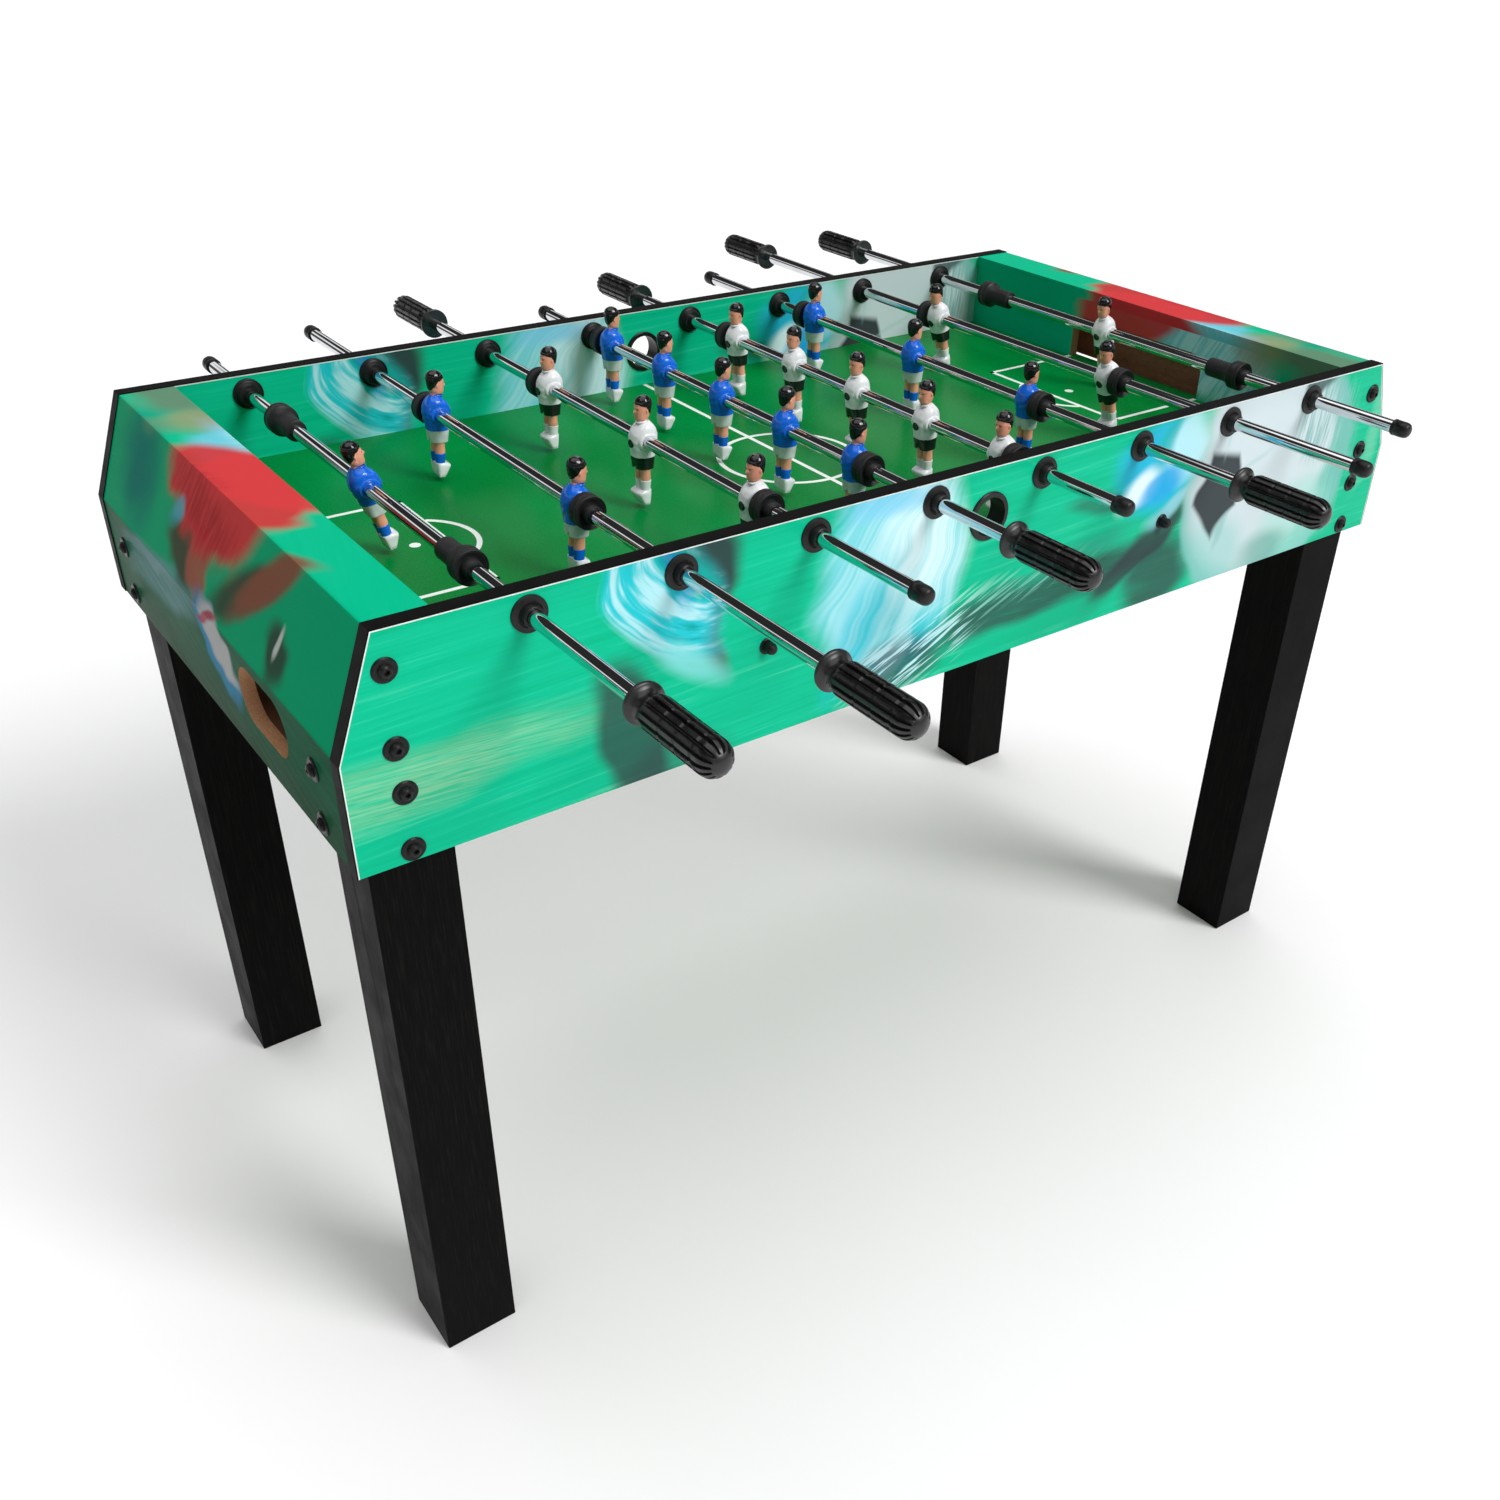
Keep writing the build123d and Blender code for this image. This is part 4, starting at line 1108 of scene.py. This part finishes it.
class FOOSBALL_OT_handles(Operator):
    """Make the fluted handles with their flange, cross grooves and set screw"""
    bl_idname = "foosball.handles"
    bl_label = "Handles"

    def execute(self, context):
        settings = context.scene.foosball_fittings
        base = tuple(settings.plastic)
        finish = moulded_plastic("handle_plastic", base, 0.22, 0.36, 2.4, shine=0.55)
        data = self.grip(settings).mesh("fluted_grip", [finish, black_steel()], angle=50.0)
        for number in ROD_NUMBERS:
            node = "rod_%d_handle" % number
            side, matrix = at_rod_end(number, node)
            if side < 0:
                matrix = matrix @ turned_by(180, "Z")
            name = "rod_%d_fluted_handle" % number
            piece(name, data, "rod_%d" % number, [node], matrix)
        return {"FINISHED"}

    @staticmethod
    def grip(settings):
        """Handle along +Z from its flange face, in millimetres."""
        size = settings.handle_length / MM
        barrel_radius, barrel_start, dome_height, socket_depth = 13.8, 18.0, 13.5, 71.0
        path = [
            (15.2, 0.0), (15.8, 0.25), (16.0, 0.9), (16.0, 2.2), (15.7, 2.9), (14.8, 3.3), (12.6, 4.3),
            (11.3, 5.9), (10.7, 8.2), (10.7, 11.0)]
        shoulder = [(10.7, 11.0), (11.4, 13.0), (13.0, 15.0), (barrel_radius, barrel_start)]
        path += curve_through(shoulder, 5)[1:]
        barrel = size - barrel_start - dome_height
        path += [(barrel_radius, barrel_start + k * barrel / 74) for k in range(1, 75)]
        for k in range(1, 26):
            turn = k / 26 * pi / 2
            path.append((barrel_radius * cos(turn), size - dome_height + dome_height * sin(turn)))
        build = Build()
        turns = [2 * pi * k / (settings.flutes * 12) for k in range(settings.flutes * 12)]
        waves = [cos(settings.flutes * turn) for turn in turns]
        grooves = [min(1.0, max(0.0, (wave - 0.18) / 0.36)) for wave in waves]
        rings = []
        for radius, height in path:
            fade_in = min(1.0, max(0.0, (height - 13.0) / 3.0))
            fade_out = min(1.0, max(0.0, (size - height - 2.6) / 1.6))
            cut = settings.flute_depth / MM * fade_in * fade_out
            cross = max(max(0.0, 1 - abs(height - place)) for place in (39.0, 57.0, 76.0))
            ring = []
            for turn, groove in zip(turns, grooves):
                r = radius - cut * groove * min(1.0, radius / 10.0)
                r -= 1.2 * cross * (1 - groove) * fade_in
                ring.append((r * cos(turn), r * sin(turn), height))
            rings.append(ring)
        build.rings(rings, 0, "open", "cap")
        bore = [(ROD_HOLE * cos(turn), ROD_HOLE * sin(turn)) for turn in turns]
        socket = [[(x, y, z) for x, y in bore] for z in (socket_depth, 0.0)]
        build.rings(socket + [rings[0]], 0, "cap", "open")
        screw = [(0.0, 11.2), (0.9, 11.2), (0.9, 10.9), (1.9, 10.9), (1.9, 9.0), (0.0, 9.0)]
        place = turned_by(180, "Z") @ Matrix.Translation((0, 0, 9.6)) @ turned_by(-90, "X")
        build.turned(screw, 24, 1, False, place)
        return build


class FOOSBALL_OT_bumpers(Operator):
    """Make the rubber bumpers, with dished faces, and the goalie rods' long sleeves"""
    bl_idname = "foosball.bumpers"
    bl_label = "Bumpers"

    def execute(self, context):
        rubber = (0.012, 0.012, 0.013)
        finish = moulded_plastic("bumper_rubber", rubber, 0.40, 0.54, 1.6, depth=0.00012)
        face = [
            (14.3, 0.0), (14.9, 0.5), (15.0, 1.2), (15.0, 7.6), (14.75, 8.0), (14.75, 8.5), (15.0, 8.9),
            (15.0, 12.0), (14.8, 12.6), (14.2, 12.9), (13.6, 12.6), (13.2, 12.1), (12.6, 12.2),
            (9.6, 9.9), (8.5, 9.8), (8.2, 10.4), (7.8, 18.4), (7.4, BUMPER), (ROD_HOLE, BUMPER)]
        sleeve = [
            (ROD_HOLE, -33.0), (9.3, -33.0), (9.9, -32.6), (10.1, -31.8), (10.1, -14.0), (10.3, -9.0),
            (11.2, -4.0), (12.8, -1.0)]
        for number in ROD_NUMBERS:
            node = "rod_%d_bumpers" % number
            goalie = MEN_ON_ROD[number][0] == 1
            profile = (sleeve if goalie else [(ROD_HOLE, 0.0)]) + face
            build = Build()
            for side, end in zip((-1, 1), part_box(node)):
                place = (rod_axis(number) / MM, end[1] / MM - side * BUMPER, ROD_Z / MM)
                build.turned(profile, 56, matrix=facing(side, place))
            name = "rod_%d_rubber_bumpers" % number
            piece(name, build.mesh(name, [finish]), node, [node])
        return {"FINISHED"}


class FOOSBALL_OT_figures(Operator):
    """Mould both teams and set them on their rods"""
    bl_idname = "foosball.figures"
    bl_label = "Figures"

    def execute(self, context):
        settings = context.scene.foosball_men
        for blue in (True, False):
            model = figure(black_dot=not blue)
            materials = team_materials(settings, blue)
            for number in ROD_NUMBERS:
                if (number in BLUE_RODS) == blue:
                    self.set_rod(number, model, materials, blue)
        return {"FINISHED"}

    @staticmethod
    def set_rod(number, model, materials, blue):
        """Places the men of one rod as one piece."""
        count, spacing, slide, lean = MEN_ON_ROD[number]
        build = Build()
        for n in range(count):
            first = len(build.points)
            build.points.extend(model.points)
            build.faces.extend(tuple(first + i for i in face) for face in model.faces)
            build.slots.extend(model.slots)
            y = slide + (n - (count - 1) / 2) * spacing
            turn = turned_by(-lean, "Y") @ turned_by(0 if blue else 180, "Z")
            place = Matrix.Translation((rod_axis(number) / MM, y, ROD_Z / MM))
            build.move(first, place @ turn)
        name = "rod_%d_figures" % number
        data = build.mesh(name, materials, angle=60.0)
        piece(name, data, "rod_%d" % number, ["rod_%d_men" % number])


class FOOSBALL_OT_stage(Operator):
    """Set the floor, the soft lights and the camera"""
    bl_idname = "foosball.stage"
    bl_label = "Studio"

    def execute(self, context):
        settings = context.scene.foosball_stage
        self.floor(context, settings)
        self.lights(context, settings)
        self.camera(context, settings)
        return {"FINISHED"}

    @staticmethod
    def floor(context, settings):
        """Large pale floor with a faint mottle."""
        data = bpy.data.meshes.new("studio_floor")
        reach = 30.0
        corners = [(-reach, -reach, 0), (reach, -reach, 0), (reach, reach, 0), (-reach, reach, 0)]
        data.from_pydata(corners, [], [(0, 1, 2, 3)])
        f = Finish("floor_paper", settings.floor, 0.8)
        mottle = f.noise(f.coord.outputs["Object"], 1.5, 3.0)
        f.cover(f.span(mottle, 0.3, 0.7), tuple(c * 0.985 for c in settings.floor))
        f.fill(f.shader, base_color=f.printed)
        data.materials.append(f.mat)
        item = bpy.data.objects.new("studio_floor", data)
        context.scene.collection.objects.link(item)

    @staticmethod
    def lights(context, settings):
        """Soft key from the front right, dim walls and a bright ceiling; colours shown as given."""
        context.scene.view_settings.view_transform = "Standard"
        world = bpy.data.worlds.new("studio_air")
        world.use_nodes = True
        tree = world.node_tree
        coord, split, ramp, path, choose = (tree.nodes.new("ShaderNode" + kind) for kind in (
            "TexCoord", "SeparateXYZ", "ValToRGB", "LightPath", "Mix"))
        tree.links.new(coord.outputs["Generated"], split.inputs[0])
        tree.links.new(split.outputs[2], ramp.inputs[0])
        stops = ((0.24, 0.10), (0.27, 1.1), (0.36, 1.1), (0.39, 0.03), (0.80, 0.03), (0.84, 1.5))
        shades = ramp.color_ramp.elements
        shades[0].color = (0.10, 0.10, 0.10, 1.0)
        shades[1].color = (1.5, 1.5, 1.5, 1.0)
        for place, level in stops:
            shades.new(place).color = (level, level, level, 1.0)
        tree.links.new(path.outputs["Is Camera Ray"], choose.inputs[0])
        tree.links.new(ramp.outputs["Color"], choose.inputs[2])
        choose.inputs[3].default_value = 0.95
        tree.links.new(choose.outputs[0], tree.nodes["Background"].inputs["Strength"])
        tree.nodes["Background"].inputs["Color"].default_value = (1.0, 1.0, 1.0, 1.0)
        context.scene.world = world
        suns = (
            ("key_light", (1.1, -2.3, 2.1), 26.0, settings.key_power),
            ("fill_light", (0.6, 1.6, 3.0), 60.0, settings.key_power * 0.22),
        )
        for name, place, spread, power in suns:
            light = bpy.data.lights.new(name, "SUN")
            light.angle = radians(spread)
            light.energy = power
            item = bpy.data.objects.new(name, light)
            item.location = place
            item.rotation_euler = (-Vector(place)).to_track_quat("-Z", "Y").to_euler()
            item.visible_glossy = name == "key_light"
            context.scene.collection.objects.link(item)

    @staticmethod
    def camera(context, settings):
        """Standing viewer at the front left corner, looking down the table."""
        heading, down, roll = 0.66301, 0.57536, 0.03343
        forward = Vector((sin(heading) * cos(down), cos(heading) * cos(down), -sin(down)))
        level = Vector((cos(heading), -sin(heading), 0.0))
        rise = level.cross(forward)
        right = cos(roll) * level + sin(roll) * rise
        up = -sin(roll) * level + cos(roll) * rise
        lens = bpy.data.cameras.new("front_left_camera")
        lens.sensor_width = 36.0
        lens.lens = settings.focal
        lens.shift_x = -0.0412
        lens.shift_y = 0.0254
        lens.clip_end = 100.0
        item = bpy.data.objects.new("front_left_camera", lens)
        turn = Matrix((right, up, -forward)).transposed().to_4x4()
        item.matrix_world = Matrix.Translation((-0.87176, -1.17527, 1.21852)) @ turn
        context.scene.collection.objects.link(item)
        context.scene.camera = item


OPERATORS = (
    FOOSBALL_OT_stage,
    FOOSBALL_OT_side_panels,
    FOOSBALL_OT_end_boards,
    FOOSBALL_OT_playfield,
    FOOSBALL_OT_legs,
    FOOSBALL_OT_woodwork,
    FOOSBALL_OT_fasteners,
    FOOSBALL_OT_bearings,
    FOOSBALL_OT_rods,
    FOOSBALL_OT_handles,
    FOOSBALL_OT_bumpers,
    FOOSBALL_OT_figures,
)


class FOOSBALL_PT_builder(Panel):
    """Sidebar panel with every piece and its sizes"""
    bl_idname = "FOOSBALL_PT_builder"
    bl_label = "Foosball table"
    bl_space_type = "VIEW_3D"
    bl_region_type = "UI"
    bl_category = "Foosball"

    def draw(self, context):
        layout = self.layout
        for operator in OPERATORS:
            layout.operator(operator.bl_idname, text=operator.bl_label)
        for name, group in GROUPS:
            box = layout.box()
            box.label(text=group.__doc__)
            settings = getattr(context.scene, name)
            for key in group.__annotations__:
                box.prop(settings, key)


def register():
    """Registers the property groups, the operators and the panel."""
    for name, group in GROUPS:
        bpy.utils.register_class(group)
        setattr(bpy.types.Scene, name, PointerProperty(type=group))
    for operator in OPERATORS:
        bpy.utils.register_class(operator)
    bpy.utils.register_class(FOOSBALL_PT_builder)


def unregister():
    """Removes what register added."""
    bpy.utils.unregister_class(FOOSBALL_PT_builder)
    for operator in reversed(OPERATORS):
        bpy.utils.unregister_class(operator)
    for name, group in reversed(GROUPS):
        delattr(bpy.types.Scene, name)
        bpy.utils.unregister_class(group)


def main():
    """Builds the table."""
    register()
    for operator in OPERATORS:
        module, name = operator.bl_idname.split(".")
        getattr(getattr(bpy.ops, module), name)()


if __name__ == "__main__":
    main()
